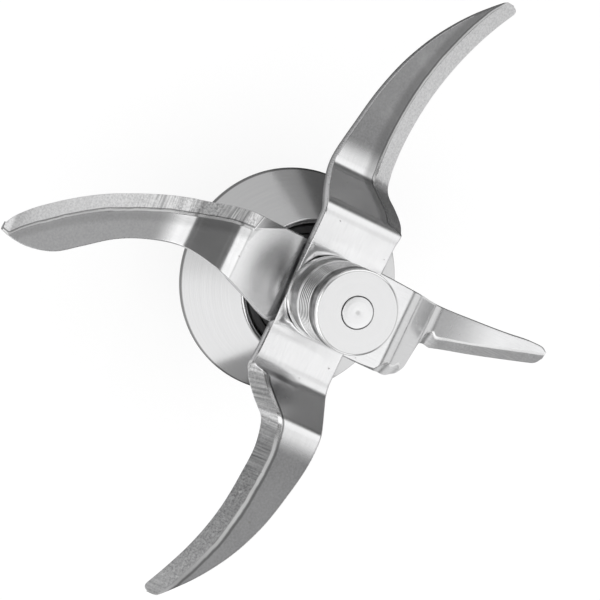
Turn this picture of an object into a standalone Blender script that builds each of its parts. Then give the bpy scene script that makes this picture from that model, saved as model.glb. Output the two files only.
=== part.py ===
# Food processor blade unit: two cranked and ground blades on a spindle that turns in a bearing housing.
# Metres, +Z up the spindle. The origin is the centre of the drive coupling's end face.
from math import asin, atan, ceil, cos, hypot, pi, radians, sin, sqrt, tan

import bmesh
import bpy
from mathutils import Matrix, Vector

MM = 0.001

# Fits
FIT = 0.3 * MM                      # gap between pieces that seat on or in each other
BALL_PLAY = 0.2 * MM               # gap between a ball and its raceways
POCKET_PLAY = 0.25 * MM             # gap between a ball and its cage pocket
EDGE_BREAK = 0.25 * MM              # small chamfer on machined and stamped edges

# Facets of the round pieces
ROUND_STEPS = 36
INNER_STEPS = 20

# Spindle
SPINDLE_R = 4.0 * MM
THREAD_STEP = 0.85 * MM             # the thread is thinner than the spindle by this
SEAT_FLAT_DEPTH = 0.7 * MM          # the blades sit on two flats cut this deep
SPINDLE_DOME = 0.3 * MM
SPINDLE_DIMPLE_R = 0.7 * MM
SPINDLE_DIMPLE_DEPTH = 0.35 * MM

# Drive coupling
COUPLING_LOBES = 6
COUPLING_R = 7.4 * MM               # mean radius of the star
COUPLING_LOBE = 0.9 * MM            # height of its lobes over the mean
COUPLING_STAR_LENGTH = 9.4 * MM
COUPLING_HUB_R = 6.7 * MM
COUPLING_HUB_LENGTH = 3.4 * MM
COUPLING_FLOOR = 2.8 * MM           # closed end below the spindle
COUPLING_CHAMFER = 0.7 * MM
COUPLING_RECESS = 0.4 * MM          # how far the star reaches into the housing
COUPLING_PIN_R = 1.2 * MM
COUPLING_PIN_Z = 6.2 * MM

# Ball bearings: 8 mm bore, 22 mm outside, 7 mm wide
BALL_R = 1.95 * MM
BALL_COUNT = 7
RACE_WALL = 1.2 * MM                # ring thickness behind the groove
LAND_OFFSET = 1.4 * MM              # from the pitch circle to the rings' lands
CAGE_HALF = 1.0 * MM                # from the pitch circle to the cage's faces
CAGE_RIM = 0.5 * MM                 # beside each pocket
SHIELD_THICKNESS = 0.35 * MM
SHIELD_GAP = 0.45 * MM              # between cage and shield
SPACER_WALL = 1.4 * MM

# Retaining rings and bottom cover
RING_THICKNESS = 1.0 * MM
RING_GROOVE_DEPTH = 0.8 * MM
RING_WIDTH = 2.2 * MM
SPINDLE_GROOVE_DEPTH = 0.5 * MM
SPINDLE_RING_WIDTH = 1.6 * MM
RING_GAP_ANGLE = radians(50)
BOTTOM_COVER_THICKNESS = 1.8 * MM
COVER_GAP = 0.9 * MM                # between the coupling and the bottom cover

# Bearing housing
BARREL_LENGTH = 23.8 * MM
BARREL_WALL = 1.7 * MM              # round the bearings
FLANGE_THICKNESS = 2.4 * MM
FLANGE_CHAMFER = 0.8 * MM           # round its lower edge
NECK_WALL = 1.5 * MM
NECK_BELOW_MOUTH = 1.6 * MM
SHOULDER_WIDTH = 1.9 * MM
SHOULDER_THICKNESS = 1.4 * MM

# Bayonet lugs
LUG_COUNT = 3
LUG_REACH = 4.0 * MM
LUG_Z = 8.0 * MM                    # underside, over the housing's lower face
LUG_THICKNESS = 4.2 * MM
LUG_ANGLE = radians(34)

# Bell cover
BELL_R = 22.5 * MM
BELL_WALL = 1.0 * MM
BELL_SKIRT = 0.6 * MM               # straight edge below the cone
BELL_HEIGHT = 15.6 * MM             # cone, from its widest edge to the mouth
BELL_MOUTH_DEPTH = 2.2 * MM         # straight wall inside the mouth
MOUTH_GAP = 0.6 * MM                # round the housing's neck

# Bowl seal
BOWL_SEAL_WIDTH = 6.4 * MM
BOWL_SEAL_HEIGHT = 2.8 * MM
BOWL_SEAL_RIB = 0.5 * MM

# Spindle seal
SEAL_LIP_THICKNESS = 0.9 * MM
SEAL_WEB = 1.2 * MM
SEAL_RECESS = 0.2 * MM              # below the neck's top
GARTER_WIRE_R = 0.55 * MM

# Blade collar
COLLAR_WALL = 2.2 * MM
COLLAR_LIP = 3.1 * MM               # how far its flange stands out under the blades
COLLAR_FLANGE = 2.0 * MM

# Blade strips
BLADE_THICKNESS = 2.4 * MM
BLADE_CLEARANCE = 5.0 * MM          # lower blade over the bell's mouth
UPPER_HUB_HALF_WIDTH = 8.15 * MM
LOWER_HUB_HALF_WIDTH = 9.0 * MM
UPPER_HUB_STRAIGHT = 14.0 * MM      # from the axis to where a hub's straight sides end
LOWER_HUB_TAPER = 7.8 * MM          # the lower hub's trailing side begins to taper here

# Cutting bevels
BEVEL_WIDTH = 3.4 * MM
LONG_BEVEL_WIDTH = 3.1 * MM
SHORT_BEVEL_WIDTH = 2.3 * MM        # on the lower blade's short wing
BEVEL_DROP = 1.1 * MM
EDGE_LAND = 0.2 * MM
UNDER_BEVEL = 0.6                   # width of the bevel below the edge, as a share of the one above
BEVEL_START = 17.0 * MM             # where the grinding begins, from the axis
BEVEL_RUN_IN = 1.6 * MM
BEVEL_STRETCH = 0.8                 # steepest slope of the outline that widens a bevel along its section
BEVEL_SLOPE_SPAN = 0.8 * MM         # the slope is taken over this distance to either side

# Cranks: a wing leaves the hub's level by two bends
BEND_R = 5.0 * MM
CRANK_ANGLE = radians(45)
UPPER_CRANK = 20.6 * MM             # middle of the crank, from the axis
UPPER_RISE = 8.0 * MM               # one wing up, the other down
UPPER_WING_ANGLE = radians(8)
LONG_CRANK = 24.4 * MM
LONG_DROP = 7.5 * MM
LONG_WING_ANGLE = radians(7)
SHORT_CRANK = 21.6 * MM
SHORT_DROP = 7.0 * MM
SHORT_WING_ANGLE = radians(2)

# Wing outlines from above, in millimetres: distance from the axis, offset towards the trailing side.
# Each starts at the hub's edge.
DOWN_SPINE = [(20.0, 8.7), (26.0, 8.3), (34.0, 6.65), (42.0, 4.65), (50.0, 1.6), (58.0, -3.1),
              (63.0, -7.1), (68.4, -12.6)]
DOWN_EDGE = [(20.3, -8.4), (22.2, -7.0), (24.2, -5.1), (27.0, -4.4), (31.0, -4.2), (38.0, -4.7),
             (46.0, -6.2), (54.0, -8.75), (62.0, -12.4), (68.4, -16.2)]
DOWN_REACH = 68.4 * MM
UP_SPINE = [(19.0, 8.4), (24.0, 8.5), (30.0, 8.3), (38.0, 6.6), (46.0, 4.05), (54.0, -0.15),
            (60.0, -4.8), (65.4, -10.3)]
UP_EDGE = [(19.4, -8.4), (22.0, -7.0), (25.6, -4.5), (30.0, -3.35), (38.0, -3.75), (46.0, -5.1),
           (54.0, -7.8), (60.0, -10.7), (65.4, -13.7)]
UP_REACH = 65.4 * MM
LONG_SPINE = [(14.2, 6.7), (21.5, 4.2), (28.0, 3.05), (34.0, 4.3), (41.0, 7.5), (46.0, 11.3),
              (50.0, 14.3), (54.0, 15.65), (58.0, 15.85), (61.4, 15.0)]
LONG_EDGE = [(22.6, -8.8), (29.0, -6.65), (34.0, -5.4), (38.0, -3.8), (46.0, 0.1), (54.0, 5.6),
             (58.0, 9.05), (61.4, 12.9)]
LONG_REACH = 61.4 * MM
SHORT_SPINE = [(18.0, 8.6), (26.0, 8.2), (34.0, 8.6), (42.0, 9.2), (47.0, 9.6), (50.8, 9.1)]
SHORT_EDGE = [(17.5, -8.9), (21.8, -8.3), (23.1, -7.1), (23.8, -5.4), (24.2, -3.2), (25.0, -1.2),
              (28.0, -0.2), (36.5, 2.05), (50.8, 6.2)]
SHORT_REACH = 50.8 * MM
TIP_ROUNDING = 2.4 * MM
CRANK_STATIONS = 12                 # sections along a crank
STATION_PITCH = 3.0 * MM            # distance between the sections of a wing

# Cap nut
NUT_R = 8.4 * MM
NUT_HEIGHT = 18.4 * MM
NUT_FLANGE = 2.0 * MM
NUT_NECK_DEPTH = 0.35 * MM
NUT_CHAMFER = 0.5 * MM
NUT_GROOVES = 5
NUT_GROOVE_PITCH = 1.2 * MM
NUT_GROOVE_DEPTH = 0.25 * MM
NUT_GROOVES_BELOW_TOP = 3.6 * MM    # uppermost groove

# Radii that follow from the sizes above
SPINDLE_BORE_R = SPINDLE_R + FIT
THREAD_R = SPINDLE_R - THREAD_STEP
SEAT_FLAT = SPINDLE_R - SEAT_FLAT_DEPTH
PITCH_R = SPINDLE_BORE_R + RACE_WALL + BALL_R + BALL_PLAY
BEARING_R = PITCH_R + BALL_R + BALL_PLAY + RACE_WALL
INNER_LAND_R = PITCH_R - LAND_OFFSET
OUTER_LAND_R = PITCH_R + LAND_OFFSET
BORE_R = BEARING_R + FIT
BARREL_R = BORE_R + BARREL_WALL
NECK_R = BORE_R + NECK_WALL
BELL_MOUTH_R = NECK_R + MOUTH_GAP
FLANGE_R = BELL_R - BELL_WALL - FIT
COLLAR_R = SPINDLE_BORE_R + COLLAR_WALL
COLLAR_FLANGE_R = COLLAR_R + COLLAR_LIP

# Levels, from the coupling's end face upwards
COUPLING_TOP = COUPLING_STAR_LENGTH + COUPLING_HUB_LENGTH
SPINDLE_BOTTOM = COUPLING_FLOOR + FIT
HOUSING_Z = COUPLING_STAR_LENGTH - COUPLING_RECESS
BOTTOM_COVER_Z = COUPLING_TOP + COVER_GAP
RING_Z = BOTTOM_COVER_Z + BOTTOM_COVER_THICKNESS + 3 * FIT / 2
LOWER_BEARING_Z = RING_Z + RING_THICKNESS + 3 * FIT / 2
FLANGE_Z = HOUSING_Z + BARREL_LENGTH
FLANGE_TOP = FLANGE_Z + FLANGE_THICKNESS
RIM_Z = FLANGE_TOP + FIT
MOUTH_Z = RIM_Z + BELL_HEIGHT
NECK_TOP = MOUTH_Z - NECK_BELOW_MOUTH
SEAL_HEIGHT = SEAL_WEB + 2 * GARTER_WIRE_R + 2 * FIT
SEAL_Z = NECK_TOP - SEAL_RECESS - SEAL_HEIGHT
BEARING_WIDTH = 2 * (BALL_R + POCKET_PLAY + CAGE_RIM + SHIELD_GAP + SHIELD_THICKNESS)
BEARING_TOP = SEAL_Z - FIT - SHOULDER_THICKNESS - FIT
UPPER_BEARING_Z = BEARING_TOP - BEARING_WIDTH
LOWER_BLADE_TOP = MOUTH_Z + BLADE_CLEARANCE + BLADE_THICKNESS
UPPER_BLADE_TOP = LOWER_BLADE_TOP + FIT + BLADE_THICKNESS
COLLAR_TOP = LOWER_BLADE_TOP - BLADE_THICKNESS - FIT
NUT_Z = UPPER_BLADE_TOP + FIT
NUT_TOP = NUT_Z + NUT_HEIGHT

PART = bpy.data.collections.new("food_processor_blade")
CUTTERS = bpy.data.collections.new("cutters")


def clear_scene():
    for obj in list(bpy.data.objects):
        bpy.data.objects.remove(obj, do_unlink=True)


def material(name, colour, roughness, metallic):
    mat = bpy.data.materials.new(name)
    mat.use_nodes = True
    shader = mat.node_tree.nodes["Principled BSDF"]
    shader.inputs["Base Color"].default_value = (*colour, 1.0)
    shader.inputs["Roughness"].default_value = roughness
    shader.inputs["Metallic"].default_value = metallic
    return mat


def empty(name, parent=None, z=0.0):
    obj = bpy.data.objects.new(name, None)
    obj.empty_display_size = 0.01
    obj.location = (0.0, 0.0, z)
    obj.parent = parent
    PART.objects.link(obj)
    return obj


def piece(name, mesh, mat, parent, location=(0.0, 0.0, 0.0)):
    """A part object, placed in the part's frame and carried by its parent empty."""
    obj = bpy.data.objects.new(name, mesh)
    mesh.materials.append(mat)
    mesh.shade_smooth()
    obj.parent = parent
    obj.location = Vector(location) - parent.location
    PART.objects.link(obj)
    return obj


def cutter(name, mesh, location=(0.0, 0.0, 0.0), rotation_z=0.0):
    obj = bpy.data.objects.new(name, mesh)
    obj.location = location
    obj.rotation_euler = (0.0, 0.0, rotation_z)
    obj.display_type = "WIRE"
    obj.hide_render = True
    CUTTERS.objects.link(obj)
    return obj


def boolean(obj, tool, operation="DIFFERENCE"):
    mod = obj.modifiers.new(tool.name, "BOOLEAN")
    mod.operation = operation
    mod.object = tool


def profile_mesh(name, profile, closed):
    """Edges of a turned profile at +X, listed down the outer side."""
    mesh = bpy.data.meshes.new(name)
    verts = [(r, 0.0, z) for r, z in profile]
    edges = [(i, i + 1) for i in range(len(verts) - 1)]
    if closed:
        edges.append((len(verts) - 1, 0))
    mesh.from_pydata(verts, edges, [])
    return mesh


def turn(obj, steps):
    """Turn the object's profile about Z."""
    mod = obj.modifiers.new("turn", "SCREW")
    mod.axis = "Z"
    mod.angle = 2 * pi
    mod.steps = steps
    mod.render_steps = steps
    mod.use_merge_vertices = True
    mod.merge_threshold = 0.00001
    mod.use_smooth_shade = True


def turned(name, profile, mat, parent, z=0.0, steps=ROUND_STEPS, closed=True):
    obj = piece(name, profile_mesh(name, profile, closed), mat, parent, (0.0, 0.0, z))
    turn(obj, steps)
    return obj


def ring_profile(inner, outer, bottom, top):
    """Rectangular ring section."""
    return [(outer, top), (outer, bottom), (inner, bottom), (inner, top)]


def loft_mesh(name, rings):
    """Closed skin through rings of equally many points, with a face over each end."""
    bm = bmesh.new()
    loops = [[bm.verts.new(p) for p in ring] for ring in rings]
    count = len(rings[0])
    for a, b in zip(loops, loops[1:]):
        for i in range(count):
            j = (i + 1) % count
            bm.faces.new((a[i], a[j], b[j], b[i]))
    bm.faces.new(loops[0])
    bm.faces.new(loops[-1])
    bmesh.ops.recalc_face_normals(bm, faces=bm.faces)
    mesh = bpy.data.meshes.new(name)
    bm.to_mesh(mesh)
    bm.free()
    return mesh


def prism_mesh(name, outline, bottom, top):
    """Flat outline, extruded upwards."""
    bm = bmesh.new()
    face = bm.faces.new([bm.verts.new((x, y, bottom)) for x, y in outline])
    grown = bmesh.ops.extrude_face_region(bm, geom=[face])
    lifted = [v for v in grown["geom"] if isinstance(v, bmesh.types.BMVert)]
    bmesh.ops.translate(bm, verts=lifted, vec=(0.0, 0.0, top - bottom))
    bmesh.ops.recalc_face_normals(bm, faces=bm.faces)
    mesh = bpy.data.meshes.new(name)
    bm.to_mesh(mesh)
    bm.free()
    return mesh


def cylinder_mesh(name, radius, bottom, top, steps=INNER_STEPS, turn_to=None):
    bm = bmesh.new()
    height = top - bottom
    bmesh.ops.create_cone(bm, cap_ends=True, segments=steps, radius1=radius, radius2=radius, depth=height)
    bmesh.ops.translate(bm, verts=bm.verts, vec=(0.0, 0.0, (top + bottom) / 2))
    if turn_to:
        bmesh.ops.transform(bm, matrix=turn_to, verts=bm.verts)
    mesh = bpy.data.meshes.new(name)
    bm.to_mesh(mesh)
    bm.free()
    return mesh


def sector(inner, outer, half_angle, steps=6):
    """Outline of an arc-shaped block about +X."""
    angles = [-half_angle + 2 * half_angle * i / steps for i in range(steps + 1)]
    outline = [(outer * cos(a), outer * sin(a)) for a in angles]
    outline += [(inner * cos(a), inner * sin(a)) for a in reversed(angles)]
    return outline


def double_d(radius, flat, steps=20):
    """Circle cut by two flats that lie along X."""
    half = asin(flat / radius)
    right = [-half + 2 * half * i / steps for i in range(steps + 1)]
    angles = right + [a + pi for a in right]
    return [(radius * cos(a), radius * sin(a)) for a in angles]


def open_ring(inner, outer, gap, steps=18):
    """Retaining ring outline, open by the gap angle at +X."""
    start = gap / 2
    angles = [start + (2 * pi - gap) * i / steps for i in range(steps + 1)]
    outline = [(outer * cos(a), outer * sin(a)) for a in angles]
    outline += [(inner * cos(a), inner * sin(a)) for a in reversed(angles)]
    return outline


# Spindle, coupling and nut

def make_spindle(mat, parent):
    top = NUT_TOP
    thread_z = NUT_Z - FIT
    groove_top = RING_Z + RING_THICKNESS + FIT / 2
    groove_z = RING_Z - FIT / 2
    groove_r = SPINDLE_R - SPINDLE_GROOVE_DEPTH
    profile = [
        (0.0, top + SPINDLE_DOME - SPINDLE_DIMPLE_DEPTH),
        (SPINDLE_DIMPLE_R, top + SPINDLE_DOME),
        (THREAD_R - EDGE_BREAK, top + EDGE_BREAK / 2),
        (THREAD_R, top - EDGE_BREAK),
        (THREAD_R, thread_z),
        (SPINDLE_R - EDGE_BREAK, thread_z),
        (SPINDLE_R, thread_z - EDGE_BREAK),
        (SPINDLE_R, groove_top),
        (groove_r, groove_top),
        (groove_r, groove_z),
        (SPINDLE_R, groove_z),
        (SPINDLE_R, SPINDLE_BOTTOM + 2 * EDGE_BREAK),
        (SPINDLE_R - 2 * EDGE_BREAK, SPINDLE_BOTTOM),
        (0.0, SPINDLE_BOTTOM),
    ]
    spindle = turned("spindle", profile, mat, parent, steps=INNER_STEPS, closed=False)
    seat_z = COLLAR_TOP - FIT
    side = 2 * SPINDLE_R
    for sign in (-1, 1):
        low, high = sorted((sign * SEAT_FLAT, sign * side))
        outline = [(-side, low), (side, low), (side, high), (-side, high)]
        flat = prism_mesh("flat_cut", outline, seat_z, thread_z + FIT)
        boolean(spindle, cutter("flat_cut", flat))
    boolean(spindle, coupling_pin_cutter("spindle_pin_hole"))


def coupling_pin_cutter(name):
    along = Matrix.Rotation(radians(90), 4, "Y")
    mesh = cylinder_mesh(name, COUPLING_PIN_R + FIT, -2 * COUPLING_R, 2 * COUPLING_R, 16, along)
    return cutter(name, mesh, (0.0, 0.0, COUPLING_PIN_Z))


def star(radius, lobe, steps=48):
    """Outline of the coupling, with its hollows on the X axis."""
    points = []
    for i in range(steps):
        a = 2 * pi * i / steps
        r = radius - lobe * cos(COUPLING_LOBES * a)
        points.append((r * cos(a), r * sin(a)))
    return points


def make_coupling(mat, parent):
    full = star(COUPLING_R, COUPLING_LOBE)
    small = star(COUPLING_R - COUPLING_CHAMFER, COUPLING_LOBE)
    hub = star(COUPLING_HUB_R, 0.0)
    neck = star(COUPLING_HUB_R - EDGE_BREAK, 0.0)
    levels = [
        (small, 0.0),
        (full, COUPLING_CHAMFER),
        (full, COUPLING_STAR_LENGTH - EDGE_BREAK),
        (hub, COUPLING_STAR_LENGTH + EDGE_BREAK),
        (hub, COUPLING_TOP - EDGE_BREAK),
        (neck, COUPLING_TOP),
    ]
    rings = [[(x, y, z) for x, y in outline] for outline, z in levels]
    coupling = piece("drive_coupling", loft_mesh("drive_coupling", rings), mat, parent)
    bore = cylinder_mesh("coupling_bore", SPINDLE_BORE_R, COUPLING_FLOOR, 2 * COUPLING_TOP)
    boolean(coupling, cutter("coupling_bore", bore))
    boolean(coupling, coupling_pin_cutter("coupling_pin_hole"))


def make_coupling_pin(mat, parent):
    half = COUPLING_R - COUPLING_LOBE - EDGE_BREAK
    profile = [(0.0, half), (COUPLING_PIN_R - EDGE_BREAK, half), (COUPLING_PIN_R, half - EDGE_BREAK),
               (COUPLING_PIN_R, EDGE_BREAK - half), (COUPLING_PIN_R - EDGE_BREAK, -half), (0.0, -half)]
    pin = turned("coupling_pin", profile, mat, parent, COUPLING_PIN_Z, 12, closed=False)
    pin.rotation_euler = (0.0, radians(90), 0.0)


def make_nut(mat, parent):
    bore = THREAD_R + FIT
    top = NUT_HEIGHT
    neck_r = NUT_R - NUT_NECK_DEPTH
    profile = [(bore, top), (NUT_R - NUT_CHAMFER, top), (NUT_R, top - NUT_CHAMFER)]
    for i in range(NUT_GROOVES):
        z = top - NUT_GROOVES_BELOW_TOP - i * NUT_GROOVE_PITCH
        profile += [(NUT_R, z), (NUT_R - NUT_GROOVE_DEPTH, z - NUT_GROOVE_PITCH / 2)]
    profile += [
        (NUT_R, top - NUT_GROOVES_BELOW_TOP - NUT_GROOVES * NUT_GROOVE_PITCH),
        (NUT_R, NUT_FLANGE + 3 * NUT_NECK_DEPTH),
        (neck_r, NUT_FLANGE + NUT_NECK_DEPTH),
        (neck_r, NUT_FLANGE),
        (NUT_R, NUT_FLANGE - NUT_NECK_DEPTH),
        (NUT_R, 0.0),
        (bore + NUT_CHAMFER, 0.0),
        (bore, NUT_CHAMFER),
    ]
    turned("cap_nut", profile, mat, parent, NUT_Z)


def make_collar(mat, parent):
    bottom = BEARING_TOP + FIT
    z = COLLAR_TOP - COLLAR_FLANGE
    bore = SPINDLE_BORE_R
    profile = [
        (COLLAR_FLANGE_R - EDGE_BREAK, COLLAR_TOP),
        (COLLAR_FLANGE_R, COLLAR_TOP - EDGE_BREAK),
        (COLLAR_FLANGE_R - 2 * EDGE_BREAK, z),
        (COLLAR_R + 3 * EDGE_BREAK, z),
        (COLLAR_R, z - 3 * EDGE_BREAK),
        (COLLAR_R, bottom),
        (bore, bottom),
        (bore, COLLAR_TOP),
    ]
    turned("blade_collar", profile, mat, parent)


# Blades

def curve_at(points, r):
    """Smooth curve through (distance, offset) points in millimetres, read at a distance in metres."""
    x = r / MM
    knots = [p[0] for p in points]
    values = [p[1] for p in points]
    if x <= knots[0]:
        return values[0] * MM
    if x >= knots[-1]:
        return values[-1] * MM
    steps = [(values[i + 1] - values[i]) / (knots[i + 1] - knots[i]) for i in range(len(points) - 1)]
    slopes = [0.0]
    for before, after in zip(steps, steps[1:]):
        turns_back = before * after <= 0
        slopes.append(0.0 if turns_back else 2 * before * after / (before + after))
    slopes.append(1.5 * steps[-1] - slopes[-1] / 2)
    i = max(k for k in range(len(steps)) if knots[k] <= x)
    h = knots[i + 1] - knots[i]
    t = (x - knots[i]) / h
    value = (values[i] * (1 + 2 * t) * (1 - t) ** 2 + slopes[i] * h * t * (1 - t) ** 2
             + values[i + 1] * t * t * (3 - 2 * t) + slopes[i + 1] * h * t * t * (t - 1))
    return value * MM


class Crank:
    """Side view of a wing: bend, slope, bend back to the wing's own angle."""

    def __init__(self, middle, rise, wing_angle):
        self.sign = 1 if rise > 0 else -1
        self.wing = wing_angle
        first_run = BEND_R * sin(CRANK_ANGLE)
        first_rise = BEND_R * (1 - cos(CRANK_ANGLE))
        second_run = BEND_R * (sin(CRANK_ANGLE) - sin(wing_angle))
        second_rise = BEND_R * (cos(wing_angle) - cos(CRANK_ANGLE))
        slope_rise = abs(rise) - first_rise - second_rise
        slope_run = slope_rise / tan(CRANK_ANGLE)
        self.start = middle - (first_run + slope_run + second_run) / 2
        self.slope = self.start + first_run
        self.slope_end = self.slope + slope_run
        self.end = self.slope_end + second_run
        self.first_rise = first_rise
        self.rise = abs(rise)

    def at(self, r):
        """Height over the hub's top face, and the surface's angle."""
        if r <= self.start:
            return 0.0, 0.0
        if r <= self.slope:
            angle = asin((r - self.start) / BEND_R)
            height = BEND_R * (1 - cos(angle))
        elif r <= self.slope_end:
            angle = CRANK_ANGLE
            height = self.first_rise + (r - self.slope) * tan(CRANK_ANGLE)
        elif r <= self.end:
            angle = asin(sin(self.wing) + (self.end - r) / BEND_R)
            height = self.rise - BEND_R * (cos(self.wing) - cos(angle))
        else:
            angle = self.wing
            height = self.rise + (r - self.end) * tan(self.wing)
        return self.sign * height, self.sign * angle

    def stations(self, reach):
        """Distances of the sections, close together along the crank, the grinding's run-in and the tip."""
        marks = [BEVEL_START, BEVEL_START + BEVEL_RUN_IN / 2, BEVEL_START + BEVEL_RUN_IN]
        pitch = (self.end - self.start) / CRANK_STATIONS
        marks += [self.start + pitch * i for i in range(CRANK_STATIONS + 1)]
        last = reach - TIP_ROUNDING
        count = ceil((last - self.end) / STATION_PITCH)
        marks += [self.end + (last - self.end) * i / count for i in range(1, count + 1)]
        marks += [last + TIP_ROUNDING * sin(radians(a)) for a in (25, 45, 62, 76, 90)]
        marks.sort()
        kept = [marks[0]]
        for mark in marks[1:]:
            if mark - kept[-1] > EDGE_BREAK:
                kept.append(mark)
        return kept


class Wing:
    """Half of a blade: two outline curves, a crank and a bevel along the cutting edge."""

    def __init__(self, hub, spine, edge, reach, crank, bevel):
        spine_start, edge_start, half_width = hub
        self.spine = [(spine_start / MM, half_width / MM)] + spine
        self.edge = [(edge_start / MM, -half_width / MM)] + edge
        self.reach = reach
        self.crank = crank
        self.bevel = bevel

    def ground(self, r):
        """How far the grinding has run in: 0 on the hub, 1 on the wing."""
        t = min(1.0, max(0.0, (r - BEVEL_START) / BEVEL_RUN_IN))
        return t * t * (3 - 2 * t)

    def section(self, r):
        """Spine corner, upper bevel line, edge, lower bevel line and bevel depth at a distance."""
        spine = curve_at(self.spine, r)
        edge = curve_at(self.edge, r)
        step = BEVEL_SLOPE_SPAN
        slope = (curve_at(self.edge, r + step) - curve_at(self.edge, r - step)) / (2 * step)
        middle = (spine + edge) / 2
        tip = max(0.0, (r - self.reach + TIP_ROUNDING) / TIP_ROUNDING)
        shrink = max(0.3, sqrt(max(0.0, 1 - tip * tip)))
        spine = middle + (spine - middle) * shrink
        edge = middle + (edge - middle) * shrink
        width = spine - edge
        f = self.ground(r)
        stretch = hypot(1.0, min(abs(slope), BEVEL_STRETCH))
        bevel = EDGE_BREAK + (self.bevel * stretch - EDGE_BREAK) * f
        bevel = min(bevel, 0.7 * width)
        drop = EDGE_BREAK + (BEVEL_DROP - EDGE_BREAK) * f
        under = min(EDGE_BREAK + (bevel * UNDER_BEVEL - EDGE_BREAK) * f, 0.6 * width)
        rise = EDGE_BREAK + (BLADE_THICKNESS - BEVEL_DROP - EDGE_LAND - EDGE_BREAK) * f
        corner = min(EDGE_BREAK, 0.2 * width)
        return spine, edge, bevel, drop, under, rise, corner

    def ring(self, r, side):
        """Section points: (distance, offset, height). side is +1 where the spine lies at +offset."""
        spine, edge, bevel, drop, under, rise, corner = self.section(r)
        t = BLADE_THICKNESS
        back = [(spine - corner, 0.0), (spine, corner), (spine, t - corner), (spine - corner, t)]
        front = [(edge + under, t), (edge, t - rise), (edge, drop), (edge + bevel, 0.0)]
        if side < 0:
            back, front = front[::-1], back[::-1]
        height, angle = self.crank.at(r)
        return [(r + depth * sin(angle), side * offset, height - depth * cos(angle))
                for offset, depth in back + front]


def blade_rings(first, second, hub_half_width):
    """Sections from the second wing's tip through the hub to the first wing's tip."""
    rings = []
    for r in reversed(second.crank.stations(second.reach)):
        rings.append([(-x, y, z) for x, y, z in second.ring(r, -1)])
    e = EDGE_BREAK
    t = BLADE_THICKNESS
    w = hub_half_width
    section = [(w - e, 0.0), (w, e), (w, t - e), (w - e, t), (e - w, t), (-w, t - e), (-w, e), (e - w, 0.0)]
    for x in (-SPINDLE_R * 2, SPINDLE_R * 2):
        rings.append([(x, y, -d) for y, d in section])
    for r in first.crank.stations(first.reach):
        rings.append(first.ring(r, 1))
    return rings


def make_blade(name, first, second, hub_half_width, top, rotation_z, mat, parent):
    rings = blade_rings(first, second, hub_half_width)
    blade = piece(name, loft_mesh(name, rings), mat, parent, (0.0, 0.0, top))
    blade.rotation_euler = (0.0, 0.0, rotation_z)
    blade.data.set_sharp_from_angle(angle=radians(25))
    outline = double_d(SPINDLE_BORE_R, SEAT_FLAT + FIT)
    hole = prism_mesh(name + "_hole", outline, -2 * BLADE_THICKNESS, BLADE_THICKNESS)
    boolean(blade, cutter(name + "_hole", hole, (0.0, 0.0, top)))


def make_blades(mat, parent):
    hub = (UPPER_HUB_STRAIGHT, UPPER_HUB_STRAIGHT, UPPER_HUB_HALF_WIDTH)
    crank = Crank(UPPER_CRANK, -UPPER_RISE, UPPER_WING_ANGLE)
    down = Wing(hub, DOWN_SPINE, DOWN_EDGE, DOWN_REACH, crank, BEVEL_WIDTH)
    crank = Crank(UPPER_CRANK, UPPER_RISE, UPPER_WING_ANGLE)
    up = Wing(hub, UP_SPINE, UP_EDGE, UP_REACH, crank, BEVEL_WIDTH)
    make_blade("upper_blade", down, up, UPPER_HUB_HALF_WIDTH, UPPER_BLADE_TOP, 0.0, mat, parent)
    hub = (LOWER_HUB_TAPER, UPPER_HUB_STRAIGHT, LOWER_HUB_HALF_WIDTH)
    crank = Crank(LONG_CRANK, -LONG_DROP, LONG_WING_ANGLE)
    long = Wing(hub, LONG_SPINE, LONG_EDGE, LONG_REACH, crank, LONG_BEVEL_WIDTH)
    crank = Crank(SHORT_CRANK, -SHORT_DROP, SHORT_WING_ANGLE)
    short = Wing(hub, SHORT_SPINE, SHORT_EDGE, SHORT_REACH, crank, SHORT_BEVEL_WIDTH)
    make_blade("lower_blade", long, short, LOWER_HUB_HALF_WIDTH, LOWER_BLADE_TOP, radians(90), mat, parent)


# Housing and its covers

def make_housing(mat, parent):
    bore_top = BEARING_TOP + FIT
    seat_z = SEAL_Z - FIT
    groove_top = RING_Z + RING_THICKNESS + FIT / 2
    groove_z = RING_Z - FIT / 2
    groove_r = BORE_R + RING_GROOVE_DEPTH
    c = 2 * EDGE_BREAK
    profile = [
        (NECK_R - c, NECK_TOP),
        (NECK_R, NECK_TOP - c),
        (NECK_R, FLANGE_TOP),
        (FLANGE_R - c, FLANGE_TOP),
        (FLANGE_R, FLANGE_TOP - c),
        (FLANGE_R, FLANGE_Z + FLANGE_CHAMFER),
        (FLANGE_R - FLANGE_CHAMFER, FLANGE_Z),
        (BARREL_R, FLANGE_Z),
        (BARREL_R, HOUSING_Z + 2 * c),
        (BARREL_R - 2 * c, HOUSING_Z),
        (BORE_R, HOUSING_Z),
        (BORE_R, groove_z),
        (groove_r, groove_z),
        (groove_r, groove_top),
        (BORE_R, groove_top),
        (BORE_R, bore_top),
        (BORE_R - SHOULDER_WIDTH, bore_top),
        (BORE_R - SHOULDER_WIDTH, seat_z),
        (BORE_R, seat_z),
        (BORE_R, NECK_TOP),
    ]
    housing = turned("bearing_housing", profile, mat, parent)
    overlap = (BARREL_R + BORE_R) / 2
    bottom = HOUSING_Z + LUG_Z
    lug_outline = sector(overlap, BARREL_R + LUG_REACH, LUG_ANGLE / 2)
    lug = prism_mesh("lug", lug_outline, bottom, bottom + LUG_THICKNESS)
    for i in range(LUG_COUNT):
        boolean(housing, cutter("lug_%d" % i, lug, rotation_z=2 * pi * i / LUG_COUNT - pi / 2), "UNION")


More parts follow.
